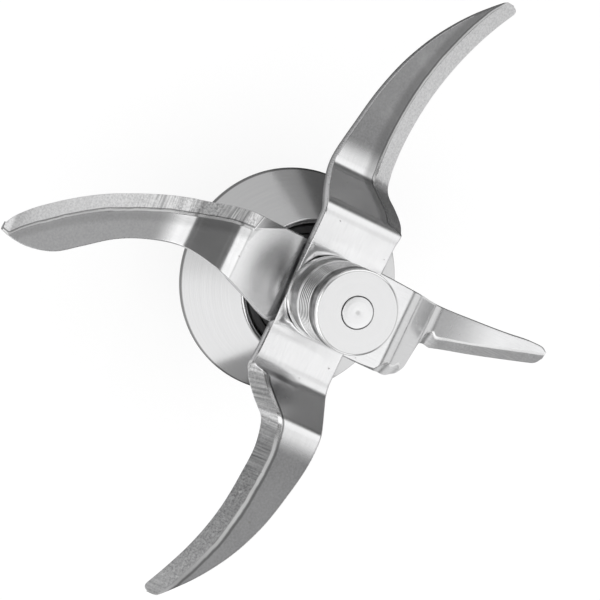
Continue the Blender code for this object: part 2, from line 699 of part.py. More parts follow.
def make_bell(mat, parent):
    slope = BELL_HEIGHT / (BELL_R - BELL_MOUTH_R - BELL_WALL)
    lean = atan(slope)
    inset = BELL_WALL / sin(lean)
    rounding = BELL_WALL / 2
    cone_top_r = BELL_MOUTH_R + BELL_WALL
    inner_r = BELL_R - BELL_WALL
    knee_z = RIM_Z + (BELL_R - inset - inner_r) * slope
    neck_z = MOUTH_Z - BELL_MOUTH_DEPTH
    joint_z = RIM_Z + (BELL_R - inset - BELL_MOUTH_R) * slope
    profile = []
    for degrees in (90, 40):
        a = radians(degrees)
        profile.append((BELL_MOUTH_R + rounding * (1 + cos(a)), MOUTH_Z - rounding * (1 - sin(a))))
    profile += [
        (cone_top_r, MOUTH_Z - rounding),
        (BELL_R, RIM_Z),
        (BELL_R, RIM_Z - BELL_SKIRT),
        (inner_r, RIM_Z - BELL_SKIRT),
        (inner_r, knee_z),
        (BELL_MOUTH_R, min(joint_z, neck_z)),
    ]
    for degrees in (180, 135):
        a = radians(degrees)
        profile.append((BELL_MOUTH_R + rounding * (1 + cos(a)), MOUTH_Z - rounding * (1 - sin(a))))
    turned("bell_cover", profile, mat, parent)


def make_bowl_seal(mat, parent):
    top = FLANGE_Z - FIT
    bottom = top - BOWL_SEAL_HEIGHT
    inner = BARREL_R + FIT
    outer = inner + BOWL_SEAL_WIDTH
    rib = BOWL_SEAL_RIB
    middle = (top + bottom) / 2
    profile = [
        (outer - rib, top),
        (outer, top - rib),
        (outer - rib, middle),
        (outer, bottom + rib),
        (outer - rib, bottom),
        (inner, bottom),
        (inner, top),
    ]
    turned("bowl_seal", profile, mat, parent)


def make_spindle_seal(rubber, steel, parent):
    outer = BORE_R - FIT
    lip = COLLAR_R + FIT
    wall = SEAL_LIP_THICKNESS
    top = SEAL_Z + SEAL_HEIGHT
    profile = [
        (outer, top),
        (outer, SEAL_Z),
        (outer - SEAL_WEB, SEAL_Z),
        (outer - SEAL_WEB, top - SEAL_WEB),
        (lip + wall, top - SEAL_WEB),
        (lip + wall, SEAL_Z + wall),
        (lip + wall / 2, SEAL_Z),
        (lip, SEAL_Z + wall),
        (lip + wall / 2, top - SEAL_WEB),
        (lip, top),
    ]
    turned("spindle_seal", profile, rubber, parent, steps=INNER_STEPS)
    wire = GARTER_WIRE_R
    ring_r = lip + wall + FIT + wire
    section = [(ring_r + wire * cos(a), wire * sin(a)) for a in (-pi * i / 3 for i in range(6))]
    turned("garter_spring", section, steel, parent, SEAL_Z + FIT + wire, INNER_STEPS)


# Ball bearings

def raceway(land, groove_depth_sign, width, steps=4):
    """Groove of a bearing ring, from the lower land edge to the upper one."""
    radius = BALL_R + BALL_PLAY
    reach = abs(land - PITCH_R)
    half = sqrt(radius * radius - reach * reach)
    start = asin(half / radius)
    points = []
    for i in range(steps + 1):
        a = -start + 2 * start * i / steps
        points.append((PITCH_R + groove_depth_sign * radius * cos(a), width / 2 + radius * sin(a)))
    return points


def make_bearing(prefix, z, mats, housing, rotor, cage_axis):
    steel, cage_mat, ball_mat = mats
    width = BEARING_WIDTH
    bore = SPINDLE_BORE_R
    inner = [(INNER_LAND_R, width)]
    inner += raceway(INNER_LAND_R, -1, width)[::-1]
    inner += [(INNER_LAND_R, 0.0), (bore, 0.0), (bore, width)]
    turned(prefix + "_bearing_inner_ring", inner, steel, rotor, z, INNER_STEPS)
    outer = [(BEARING_R, width), (BEARING_R, 0.0), (OUTER_LAND_R, 0.0)]
    outer += raceway(OUTER_LAND_R, 1, width)
    outer += [(OUTER_LAND_R, width)]
    turned(prefix + "_bearing_outer_ring", outer, steel, housing, z, INNER_STEPS)
    shield = ring_profile(INNER_LAND_R + FIT, OUTER_LAND_R - FIT, 0.0, SHIELD_THICKNESS)
    shield_z = z if prefix == "lower" else z + width - SHIELD_THICKNESS
    turned(prefix + "_bearing_shield", shield, steel, housing, shield_z, INNER_STEPS)
    middle = z + width / 2
    make_cage(prefix, middle, cage_mat, cage_axis)
    for i in range(BALL_COUNT):
        a = 2 * pi * i / BALL_COUNT
        ball = piece("%s_ball_%d" % (prefix, i + 1), ball_mesh(), ball_mat, cage_axis,
                     (PITCH_R * cos(a), PITCH_R * sin(a), middle))
        ball.rotation_euler = (0.0, 0.0, a)


def ball_mesh():
    mesh = bpy.data.meshes.new("ball")
    bm = bmesh.new()
    bmesh.ops.create_uvsphere(bm, u_segments=10, v_segments=6, radius=BALL_R)
    bm.to_mesh(mesh)
    bm.free()
    return mesh


def make_cage(prefix, middle, mat, cage_axis):
    inner = PITCH_R - CAGE_HALF
    outer = PITCH_R + CAGE_HALF
    half = BALL_R + POCKET_PLAY + CAGE_RIM
    section = ring_profile(inner, outer, -half, half)
    cage = turned(prefix + "_bearing_cage", section, mat, cage_axis, middle, 4 * BALL_COUNT)
    along = Matrix.Rotation(radians(90), 4, "Y")
    pocket = cylinder_mesh("pocket", BALL_R + POCKET_PLAY, inner / 2, outer * 2, 12, along)
    for i in range(BALL_COUNT):
        name = "%s_pocket_%d" % (prefix, i + 1)
        boolean(cage, cutter(name, pocket, (0.0, 0.0, middle), 2 * pi * i / BALL_COUNT))


def make_spacers(mat, housing, rotor):
    """Sleeves that hold the two bearings apart at their rings."""
    z = LOWER_BEARING_Z + BEARING_WIDTH + FIT
    length = UPPER_BEARING_Z - FIT - z
    outer = ring_profile(BEARING_R - SPACER_WALL, BEARING_R, 0.0, length)
    turned("outer_spacer_sleeve", outer, mat, housing, z, INNER_STEPS)
    inner = ring_profile(SPINDLE_BORE_R, SPINDLE_BORE_R + SPACER_WALL, 0.0, length)
    turned("inner_spacer_sleeve", inner, mat, rotor, z, INNER_STEPS)


def make_retaining_rings(mat, housing, rotor):
    outer = BORE_R + RING_GROOVE_DEPTH - FIT
    outline = open_ring(outer - RING_WIDTH, outer, RING_GAP_ANGLE)
    mesh = prism_mesh("housing_retaining_ring", outline, 0.0, RING_THICKNESS)
    piece("housing_retaining_ring", mesh, mat, housing, (0.0, 0.0, RING_Z))
    inner = SPINDLE_R - SPINDLE_GROOVE_DEPTH + FIT
    outline = open_ring(inner, inner + SPINDLE_RING_WIDTH, RING_GAP_ANGLE)
    mesh = prism_mesh("spindle_retaining_ring", outline, 0.0, RING_THICKNESS)
    piece("spindle_retaining_ring", mesh, mat, rotor, (0.0, 0.0, RING_Z))


def make_bottom_cover(mat, parent):
    section = ring_profile(SPINDLE_R + 2 * FIT, BEARING_R, 0.0, BOTTOM_COVER_THICKNESS)
    turned("bottom_cover", section, mat, parent, BOTTOM_COVER_Z)


def build():
    clear_scene()
    bpy.context.scene.collection.children.link(PART)
    bpy.context.scene.collection.children.link(CUTTERS)
    polished = material("polished_steel", (0.78, 0.78, 0.79), 0.12, 1.0)
    satin = material("satin_steel", (0.70, 0.70, 0.71), 0.28, 1.0)
    bearing_steel = material("bearing_steel", (0.62, 0.62, 0.64), 0.20, 1.0)
    sintered = material("sintered_steel", (0.42, 0.42, 0.43), 0.45, 1.0)
    black_plastic = material("black_plastic", (0.030, 0.030, 0.032), 0.45, 0.0)
    nylon = material("cage_nylon", (0.55, 0.50, 0.38), 0.50, 0.0)
    black_rubber = material("black_rubber", (0.035, 0.035, 0.035), 0.65, 0.0)
    grey_rubber = material("grey_rubber", (0.32, 0.33, 0.34), 0.60, 0.0)

    housing = empty("housing_frame")
    rotor = empty("spindle_axis")
    upper_cage = empty("upper_cage_axis", z=UPPER_BEARING_Z + BEARING_WIDTH / 2)
    lower_cage = empty("lower_cage_axis", z=LOWER_BEARING_Z + BEARING_WIDTH / 2)

    make_housing(black_plastic, housing)
    make_bell(satin, housing)
    make_bowl_seal(grey_rubber, housing)
    make_spindle_seal(black_rubber, bearing_steel, housing)
    make_bottom_cover(black_plastic, housing)
    make_spindle(polished, rotor)
    make_coupling(sintered, rotor)
    make_coupling_pin(bearing_steel, rotor)
    make_collar(satin, rotor)
    make_blades(polished, rotor)
    make_nut(polished, rotor)
    mats = (bearing_steel, nylon, bearing_steel)
    make_bearing("upper", UPPER_BEARING_Z, mats, housing, rotor, upper_cage)
    make_bearing("lower", LOWER_BEARING_Z, mats, housing, rotor, lower_cage)
    make_spacers(bearing_steel, housing, rotor)
    make_retaining_rings(bearing_steel, housing, rotor)


build()
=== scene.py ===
from math import acos, asin, atan, cos, hypot, pi, radians, sin, sqrt, tan

import bmesh
import bpy
from mathutils import Matrix, Vector


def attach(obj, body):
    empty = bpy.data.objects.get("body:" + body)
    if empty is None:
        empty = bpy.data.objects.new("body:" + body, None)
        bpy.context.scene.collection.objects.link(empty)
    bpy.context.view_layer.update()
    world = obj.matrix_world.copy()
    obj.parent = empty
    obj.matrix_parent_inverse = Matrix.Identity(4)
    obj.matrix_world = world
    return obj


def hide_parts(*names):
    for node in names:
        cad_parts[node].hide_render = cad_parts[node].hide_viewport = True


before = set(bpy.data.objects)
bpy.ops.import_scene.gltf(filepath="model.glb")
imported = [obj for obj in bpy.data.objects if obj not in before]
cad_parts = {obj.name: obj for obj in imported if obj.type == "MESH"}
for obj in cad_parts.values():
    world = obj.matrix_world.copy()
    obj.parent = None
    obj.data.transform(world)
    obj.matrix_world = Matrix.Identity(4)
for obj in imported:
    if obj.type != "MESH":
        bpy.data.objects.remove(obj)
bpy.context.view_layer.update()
MM = 0.001


# Sizes, in millimetres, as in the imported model; fine grooves and small roundings are only here

FIT = 0.3  # gap between pieces that seat on each other
EDGE_BREAK = 0.25  # small chamfer on machined and stamped edges

# Spindle
SPINDLE_R = 4.0
SPINDLE_BOTTOM = 3.1
SPINDLE_CHAMFER = 0.5
SPINDLE_GROOVE_DEPTH = 0.5
THREAD_R = 3.15
SEAT_FLAT = 3.3  # from the axis to the two flats that the blades sit on
PIN_R = 1.2
PIN_Z = 6.2
PIN_TOOL_HALF = 15.0  # half length of the tool for the pin's hole

# Drive coupling
COUPLING_LOBES = 6
STAR_R = 7.4  # mean radius of the star
STAR_LOBE = 0.9
STAR_LENGTH = 9.4
COUPLING_HUB_R = 6.7
COUPLING_FLOOR = 2.8
COUPLING_TOP = 12.8

# Bearing housing, with the grooves of the two retaining rings
HOUSING_Z = 9.0
GROOVE_Z = 15.8
GROOVE_TOP = 17.1
HOUSING_GROOVE_DEPTH = 0.8
FLANGE_Z = 32.8
FLANGE_TOP = 35.2
FLANGE_R = 21.2
FLANGE_CHAMFER = 0.8
BEARING_TOP = 44.4
NECK_TOP = 49.5
NECK_R = 12.8
BORE_R = 11.3
BARREL_R = 13.0
BARREL_CHAMFER = 1.0
SHOULDER_R = 9.4
LUG_COUNT = 3
LUG_Z = 17.0
LUG_THICKNESS = 4.2
LUG_REACH = 4.0
LUG_ROOT = 0.8  # how deep a lug starts in the barrel's wall
LUG_ANGLE = radians(34)
LUG_ROUNDING = 0.45

# Bottom cover and seals
COVER_Z = 13.7
COVER_TOP = 15.5
BOWL_SEAL_HEIGHT = 2.8
BOWL_SEAL_WIDTH = 6.4
BOWL_SEAL_RIB = 0.5
SEAL_Z = 46.4
SEAL_TOP = 49.3
SEAL_WEB = 1.2
SEAL_LIP = 0.9
SEAL_DISH = 0.35  # hollow in the top of the spindle seal

# Bell cover
RIM_Z = 35.5
MOUTH_Z = 51.1
BELL_R = 22.5
BELL_WALL = 1.0
BELL_SKIRT = 0.6
BELL_MOUTH_R = 13.4
BELL_MOUTH_DEPTH = 2.2

# Blade collar
COLLAR_BOTTOM = 44.7
COLLAR_TOP = 55.8
COLLAR_R = 6.5
COLLAR_FLANGE_R = 9.6
COLLAR_FLANGE = 2.0

# Cap nut
NUT_Z = 61.5
NUT_HEIGHT = 18.4
NUT_TOP = NUT_Z + NUT_HEIGHT
NUT_R = 8.4
NUT_THREAD_PLAY = 0.13
NUT_NECK_DEPTH = 0.35
NUT_BAND_DEPTH = 0.3  # of the turned band below its head
GROOVE_LOW = 69.0
GROOVES = 6
GROOVE_DEPTH = 0.24
GROOVE_HALF = 0.24

# Blade strips
BLADE_THICKNESS = 2.4
LOWER_BLADE_TOP = 58.5
UPPER_BLADE_TOP = 61.2
UPPER_HUB_HALF_WIDTH = 8.15
LOWER_HUB_HALF_WIDTH = 9.0
UPPER_HUB_STRAIGHT = 14.0
LOWER_HUB_TAPER = 7.8
SIDE_ROUND = 0.32  # rounding of the stamped sides

# Cranks: middle from the axis, rise over the hub, and the wing's own angle
BEND_R = 5.0
CRANK_ANGLE = radians(45)
DOWN_CRANK = (20.6, -8.0, radians(8))
UP_CRANK = (20.6, 8.0, radians(8))
LONG_CRANK = (24.4, -7.5, radians(7))
SHORT_CRANK = (21.6, -7.0, radians(2))

# Cutting bevels
BEVEL_WIDTH = 3.4
LONG_BEVEL_WIDTH = 3.1
SHORT_BEVEL_WIDTH = 2.3
BEVEL_DROP = 1.1
EDGE_LAND = 0.2
UNDER_BEVEL = 0.6
BEVEL_START = 17.0
BEVEL_RUN_IN = 1.6
BEVEL_STRETCH = 0.8
SHORT_BEVEL_START = 23.9
CORNER_PATCH = (15.4, 21.3)  # patch ground off the short wing's hub, from the axis
CORNER_RUN_IN = 2.8
CORNER_RUN_OUT = 2.4

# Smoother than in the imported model: the tips, the bevels' inner line, the long wing's edge and the end of
# the short wing's spine
BEVEL_SLOPE_SPAN = 3.0
TIP_ROUNDING = 2.2
TIP_BLUNT = 3.8  # power of the tip's curve: 2 is round, more is blunter
TIP_END = 1.7  # width that is left at the very end
TIP_SHARE = 0.96  # most of the width that the bevel takes

# Outlines from above: distance from the axis, offset towards the trailing side
DOWN_SPINE = [(20.0, 8.7), (26.0, 8.3), (34.0, 6.65), (42.0, 4.65), (50.0, 1.6), (58.0, -3.1),
              (63.0, -7.1), (68.4, -12.6)]
DOWN_EDGE = [(20.3, -8.4), (22.2, -7.0), (24.2, -5.1), (27.0, -4.4), (31.0, -4.2), (38.0, -4.7),
             (46.0, -6.2), (54.0, -8.75), (62.0, -12.4), (68.4, -16.2)]
UP_SPINE = [(19.0, 8.4), (24.0, 8.5), (30.0, 8.3), (38.0, 6.6), (46.0, 4.05), (54.0, -0.15),
            (60.0, -4.8), (65.4, -10.3)]
UP_EDGE = [(19.4, -8.4), (22.0, -7.0), (25.6, -4.5), (30.0, -3.35), (38.0, -3.75), (46.0, -5.1),
           (54.0, -7.8), (60.0, -10.7), (65.4, -13.7)]
LONG_SPINE = [(14.2, 6.7), (21.5, 4.2), (28.0, 3.05), (34.0, 4.3), (41.0, 7.5), (46.0, 11.3),
              (50.0, 14.3), (54.0, 15.65), (58.0, 15.85), (61.4, 15.0)]
LONG_EDGE = [(22.6, -8.8), (29.0, -6.75), (34.0, -5.2), (38.0, -3.65), (42.0, -1.85), (46.0, 0.15),
             (50.0, 2.65), (54.0, 5.6), (58.0, 9.05), (61.4, 12.9)]
SHORT_SPINE = [(18.0, 8.6), (26.0, 8.2), (34.0, 8.6), (42.0, 9.2), (47.0, 9.75), (50.8, 9.7)]
SHORT_EDGE = [(17.5, -8.9), (21.8, -8.3), (23.1, -7.1), (23.8, -5.4), (24.2, -3.2), (25.0, -1.2),
              (28.0, -0.2), (36.5, 2.05), (50.8, 6.2)]


# Mesh helpers

SUPPORT = 0.06  # distance from a corner to the point that keeps its shading tight
CORNER_SHARE = 0.48  # most of a side that the arc at its corner takes
MERGE = 1e-7


def on_circle(radius, angle):
    return radius * cos(angle), radius * sin(angle)


def corner_arc(points, i, closed, steps):
    """Arc at a corner (x, y, radius), or the corner alone where it gives no radius or is an open end."""
    here = Vector(points[i][:2])
    radius = points[i][2] if len(points[i]) > 2 else 0.0
    end = not closed and i in (0, len(points) - 1)
    if end or radius <= 0.0:
        return [here]
    before = Vector(points[i - 1][:2]) - here
    after = Vector(points[(i + 1) % len(points)][:2]) - here
    longest = min(before.length, after.length)
    before.normalize()
    after.normalize()
    half = acos(max(-1.0, min(1.0, before.dot(after)))) / 2
    reach = min(radius / tan(half), CORNER_SHARE * longest)
    radius = reach * tan(half)
    centre = here + (before + after).normalized() * (radius / sin(half))
    start = here + before * reach - centre
    turn = start.angle_signed(here + after * reach - centre)
    arc = []
    for k in range(steps + 1):
        c, s = cos(-turn * k / steps), sin(-turn * k / steps)
        arc.append(centre + Vector((start.x * c - start.y * s, start.x * s + start.y * c)))
    return arc


def rounded(points, closed=True, steps=5):
    """Outline with an arc at each corner that gives a radius, and support points beside every corner."""
    arcs = [corner_arc(points, i, closed, steps) for i in range(len(points))]
    out = []
    for i, arc in enumerate(arcs):
        out += arc
        if not closed and i == len(arcs) - 1:
            break
        a = arc[-1]
        b = arcs[(i + 1) % len(arcs)][0]
        share = min(0.3, SUPPORT / max((b - a).length, 1e-6))
        out += [a.lerp(b, share), b.lerp(a, share)]
    return [(p.x, p.y) for p in out]


def build_mesh(verts, faces, materials, attributes=None):
    """Smooth mesh in metres from points in millimetres, with its normals outwards."""
    mesh = bpy.data.meshes.new("piece")
    mesh.from_pydata([(x * MM, y * MM, z * MM) for x, y, z in verts], [], faces)
    for mat in materials:
        mesh.materials.append(mat)
    for key, values in (attributes or {}).items():
        layer = mesh.attributes.new(key, "FLOAT", "POINT")
        layer.data.foreach_set("value", values)
    bm = bmesh.new()
    bm.from_mesh(mesh)
    bmesh.ops.recalc_face_normals(bm, faces=bm.faces)
    if bm.calc_volume(signed=True) < 0.0:
        bmesh.ops.reverse_faces(bm, faces=bm.faces)
    bm.to_mesh(mesh)
    bm.free()
    mesh.shade_smooth()
    return mesh


def placed(name, data):
    obj = bpy.data.objects.new(name, data)
    bpy.context.scene.collection.objects.link(obj)
    return obj


def add(name, mesh, body):
    """Fine piece on its body, in place of the node of the same name."""
    obj = placed(name + "_fine", mesh)
    mesh.name = obj.name
    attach(obj, body)
    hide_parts(name)


def revolve(profile, mat, steps, closed=True, arc_steps=5):
    """Mesh turned about Z from a profile of (radius, height) corners, which may give a rounding too."""
    verts, faces, rows = [], [], []
    for r, z in rounded(profile, closed, arc_steps):
        if r < 1e-6:
            rows.append([len(verts)] * steps)
            verts.append((0.0, 0.0, z))
            continue
        rows.append(list(range(len(verts), len(verts) + steps)))
        verts += [(*on_circle(r, 2 * pi * k / steps), z) for k in range(steps)]
    pairs = list(zip(rows, rows[1:]))
    if closed:
        pairs.append((rows[-1], rows[0]))
    for a, b in pairs:
        for k in range(steps):
            m = (k + 1) % steps
            face = list(dict.fromkeys((a[k], a[m], b[m], b[k])))
            if len(face) > 2:
                faces.append(face)
    return build_mesh(verts, faces, [mat])


def sweep(rings, materials, attributes=None):
    """Closed mesh through rings that have as many points each."""
    n = len(rings[0])
    faces = []
    for i in range(len(rings) - 1):
        a, b = i * n, (i + 1) * n
        faces += [(a + k, a + (k + 1) % n, b + (k + 1) % n, b + k) for k in range(n)]
    faces += [tuple(range(n)), tuple(range((len(rings) - 1) * n, len(rings) * n))]
    return build_mesh([point for ring in rings for point in ring], faces, materials, attributes)


def prism(outline, bottom, top):
    return sweep([[(x, y, z) for x, y in outline] for z in (bottom, top)], [])


def round_tool(radius, start, end, steps=64):
    return prism([on_circle(radius, 2 * pi * k / steps) for k in range(steps)], start, end)


def laid_across(mesh):
    """Mesh made about Z, turned to lie along X at the pin's height."""
    mesh.transform(Matrix.Rotation(radians(90), 4, "Y"))
    mesh.transform(Matrix.Translation((0.0, 0.0, PIN_Z * MM)))
    return mesh


def pin_hole():
    return laid_across(round_tool(PIN_R + FIT, -PIN_TOOL_HALF, PIN_TOOL_HALF))


def cut(mesh, tool, operation="DIFFERENCE"):
    """Mesh after an exact boolean with the tool."""
    holder = placed("holder", mesh)
    cutter = placed("cutter", tool)
    modifier = holder.modifiers.new("cut", "BOOLEAN")
    modifier.operation = operation
    modifier.object = cutter
    modifier.solver = "EXACT"
    bpy.context.view_layer.update()
    graph = bpy.context.evaluated_depsgraph_get()
    result = bpy.data.meshes.new_from_object(holder.evaluated_get(graph), preserve_all_data_layers=True,
                                             depsgraph=graph)
    bpy.data.objects.remove(holder)
    bpy.data.objects.remove(cutter)
    bm = bmesh.new()
    bm.from_mesh(result)
    bmesh.ops.remove_doubles(bm, verts=bm.verts, dist=MERGE)
    bm.to_mesh(result)
    bm.free()
    result.shade_smooth()
    return result


# Materials

NOISE_LOW = 0.3  # noise lies mostly between these two
NOISE_HIGH = 0.7
# Strength of the painted shade line and of the painted highlight line beside the bevel
SHADE_LINE_DARK = 0.8
HIGHLIGHT_LINE_PALE = 0.85


def grey(level, blue=0.0):
    return level, level, level + blue


DARK = grey(0.12)


class Nodes:
    """Short calls for the nodes of a material or of the world."""

    def __init__(self, tree, coords):
        self.tree = tree
        self.coords = self.node("ShaderNodeTexCoord").outputs[coords]

    def node(self, kind, **settings):
        made = self.tree.nodes.new(kind)
        for key, value in settings.items():
            setattr(made, key, value)
        return made

    def link(self, source, target):
        if isinstance(source, (int, float, tuple)):
            target.default_value = source
        else:
            self.tree.links.new(source, target)

    def math(self, operation, a, b=0.0, clamp=False):
        made = self.node("ShaderNodeMath", operation=operation, use_clamp=clamp)
        self.link(a, made.inputs[0])
        self.link(b, made.inputs[1])
        return made.outputs[0]

    def plus(self, a, b):
        return self.math("ADD", a, b)

    def times(self, a, b, clamp=False):
        return self.math("MULTIPLY", a, b, clamp)

    def noise(self, scale, vector=None, detail=2.0, roughness=0.5):
        made = self.node("ShaderNodeTexNoise")
        self.link(vector or self.coords, made.inputs["Vector"])
        for key, number in (("Scale", scale), ("Detail", detail), ("Roughness", roughness)):
            made.inputs[key].default_value = number
        return made.outputs["Fac"]

    def streaks(self, a, b, fine_a, fine_b, detail):
        """Noise over two values, each with a fineness of its own."""
        made = self.node("ShaderNodeCombineXYZ")
        self.link(self.times(a, fine_a), made.inputs[0])
        self.link(self.times(b, fine_b), made.inputs[1])
        return self.noise(1.0, made.outputs[0], detail)

    def fibres(self, scale, detail):
        """Noise with a fineness along each axis."""
        made = self.node("ShaderNodeMapping")
        self.link(self.coords, made.inputs["Vector"])
        made.inputs["Scale"].default_value = scale
        return self.noise(1.0, made.outputs["Vector"], detail)

    def span(self, value, low, high, to_low=0.0, to_high=1.0, smooth=False):
        """Value from low to high, mapped to a range from to_low to to_high and kept in it."""
        made = self.node("ShaderNodeMapRange")
        if smooth:
            made.interpolation_type = "SMOOTHSTEP"
        self.link(value, made.inputs["Value"])
        for i, number in enumerate((low, high, to_low, to_high), 1):
            made.inputs[i].default_value = number
        return made.outputs["Result"]

    def spread(self, noise, to_low=0.0, to_high=1.0):
        return self.span(noise, NOISE_LOW, NOISE_HIGH, to_low, to_high)

    def near(self, value, middle, half, soft):
        """1 where the value is within half of the middle, with soft sides."""
        away = self.math("ABSOLUTE", self.math("SUBTRACT", value, middle))
        return self.span(away, half - soft, half + soft, 1.0, 0.0, smooth=True)

    def between(self, value, low, high, soft):
        """1 between low and high, with soft ends."""
        up = self.span(value, low - soft, low + soft, smooth=True)
        down = self.span(value, high - soft, high + soft, 1.0, 0.0, smooth=True)
        return self.times(up, down)

    def attribute(self, name):
        return self.node("ShaderNodeAttribute", attribute_name=name).outputs["Fac"]

    def separate(self):
        made = self.node("ShaderNodeSeparateXYZ")
        self.link(self.coords, made.inputs[0])
        return made.outputs

    def mix(self, factor, a, b):
        made = self.node("ShaderNodeMix", data_type="RGBA")
        self.link(factor, made.inputs[0])
        for value, socket in ((a, made.inputs[6]), (b, made.inputs[7])):
            self.link((*value, 1.0) if isinstance(value, tuple) else value, socket)
        return made.outputs[2]


class Surface(Nodes):
    """Material with a principled shader; its colour and roughness stand where nodes aren't read."""

    def __init__(self, name, colour, roughness, metallic=0.0):
        self.mat = bpy.data.materials.new(name)
        self.mat.use_nodes = True
        super().__init__(self.mat.node_tree, "Object")
        self.shader = self.tree.nodes["Principled BSDF"]
        self.output = self.tree.nodes["Material Output"].inputs["Surface"]
        self.shader.inputs["Metallic"].default_value = metallic
        self.colour((*colour, 1.0))
        self.roughness(roughness)

    def polar(self):
        """(radius, height) of a point, in metres."""
        x, y, z = self.separate()
        return self.math("SQRT", self.plus(self.times(x, x), self.times(y, y))), z

    def colour(self, value):
        self.link(value, self.shader.inputs["Base Color"])

    def roughness(self, value):
        self.link(value, self.shader.inputs["Roughness"])

    def bump(self, height, strength, distance):
        made = self.node("ShaderNodeBump")
        self.link(height, made.inputs["Height"])
        made.inputs["Strength"].default_value = strength
        made.inputs["Distance"].default_value = distance
        self.link(made.outputs["Normal"], self.shader.inputs["Normal"])


def edge_lines(s, tone):
    """Dark line and bright line along the inner side of the ground bevel: painted shade and a painted
    highlight of the rounded edge there.
    """
    wobble = s.spread(s.noise(260.0, detail=2.0), -0.25, 0.25)
    inner = s.plus(s.attribute("inner"), wobble)
    shade_line = s.times(s.near(inner, 1.7, 0.55, 0.4), s.attribute("shade_line_strength"))
    tone = s.mix(s.times(shade_line, SHADE_LINE_DARK), tone, DARK)
    highlight_line = s.times(s.near(inner, 0.0, 0.8, 0.4), s.attribute("highlight_line"))
    return s.mix(s.times(highlight_line, HIGHLIGHT_LINE_PALE), tone, grey(0.96))


def polished_steel():
    """Strip steel, bright on the hubs and satin on the wings, with small specks. The satin tone is partly
    painted shade: the wings' darker reflection and the lower hub's shade under the upper blade.
    """
    s = Surface("polished_strip", grey(0.80, 0.005), 0.2, 1.0)
    dull_and_shade = s.attribute("dull_and_shade")
    fine = s.streaks(s.attribute("along"), s.attribute("across"), 240.0, 5200.0, 4.0)
    cloud = s.noise(110.0, detail=4.0, roughness=0.6)
    grain = s.noise(2300.0, detail=3.0)
    specks = s.times(s.span(s.noise(760.0, detail=1.0), 0.775, 0.80), 0.45)
    bright = s.mix(s.span(fine, 0.25, 0.75), grey(0.75, 0.005), grey(0.82, 0.005))
    # satin tone: a satin finish, and painted shade on the wings and the lower hub
    satin_and_shade = s.mix(s.spread(grain), grey(0.22, 0.003), grey(0.29, 0.003))
    satin_and_shade = s.mix(s.span(cloud, 0.35, 0.65, 0.0, 0.4), satin_and_shade, grey(0.37, 0.003))
    tone = s.mix(dull_and_shade, bright, satin_and_shade)
    tone = s.mix(s.span(cloud, 0.62, 0.8, 0.0, 0.25), tone, grey(0.60))
    # painted shade beside the bevel's inner line
    beside = s.near(s.math("ABSOLUTE", s.attribute("inner")), 5.0, 4.0, 3.0)
    tone = s.mix(s.times(beside, s.attribute("shade")), tone, DARK)
    s.colour(s.mix(specks, edge_lines(s, tone), (0.25, 0.24, 0.23)))
    rough = s.plus(s.spread(cloud, 0.16, 0.24), s.times(dull_and_shade, 0.12))
    s.roughness(s.plus(rough, s.times(specks, 0.3)))
    s.bump(s.plus(s.times(fine, 0.6), s.times(grain, 0.4)), 0.10, 0.00004)
    return s.mat


def ground_steel():
    """Bevel with grinding marks across it or along it, coarser and more broken on some wings."""
    s = Surface("ground_bevel", grey(0.76, 0.005), 0.3, 1.0)
    along = s.attribute("along")
    across = s.attribute("across")
    lengthwise = s.attribute("lengthwise")
    cross = s.attribute("cross")
    cross_lines = s.streaks(along, across, 2600.0, 130.0, 4.0)
    long_lines = s.streaks(along, across, 260.0, 6500.0, 3.0)
    rest = s.math("SUBTRACT", 1.0, lengthwise)
    lines = s.plus(s.times(long_lines, lengthwise), s.times(cross_lines, rest))
    grain = s.noise(2400.0, detail=4.0, roughness=0.65)
    patches = s.span(s.noise(120.0, detail=3.0), 0.36, 0.64, 0.3, 1.0, smooth=True)
    share = s.times(patches, s.math("MAXIMUM", cross, lengthwise), clamp=True)
    marks = s.plus(s.times(lines, share), s.times(grain, s.math("SUBTRACT", 1.0, share)))
    even = s.mix(s.span(marks, 0.32, 0.68), grey(0.70, 0.005), grey(0.85, 0.005))
    streaked = s.mix(s.span(marks, 0.38, 0.62), grey(0.42, 0.005), grey(0.98))
    tone = s.mix(cross, even, streaked)
    torn = s.mix(s.span(marks, 0.34, 0.66), grey(0.17, 0.003), grey(0.46, 0.004))
    tone = s.mix(s.attribute("coarse"), tone, torn)
    nicks = s.times(s.span(s.noise(700.0, detail=2.0), 0.70, 0.76), cross)
    tone = s.mix(s.times(nicks, 0.7), tone, grey(0.95))
    s.colour(edge_lines(s, tone))
    s.roughness(s.spread(marks, 0.27, 0.40))
    s.bump(marks, 0.35, 0.00005)
    return s.mat


def sheared_steel():
    """Stamped side of the strip: clean cut above, torn below."""
    s = Surface("strip_side", grey(0.5, 0.01), 0.3, 1.0)
    fine = s.fibres((3000.0, 3000.0, 260.0), 3.0)
    depth = s.plus(s.attribute("depth"), s.spread(fine, -0.0002, 0.0002))
    torn = s.span(depth, 0.0010, 0.0016)
    clean = s.mix(s.spread(fine), grey(0.62, 0.01), grey(0.78, 0.005))
    rough = s.mix(s.spread(fine), grey(0.26, 0.005), grey(0.42, 0.005))
    s.colour(s.mix(torn, clean, rough))
    s.roughness(s.plus(s.spread(fine, 0.24, 0.36), s.times(torn, 0.12)))
    s.bump(fine, 0.25, 0.00005)
    return s.mat


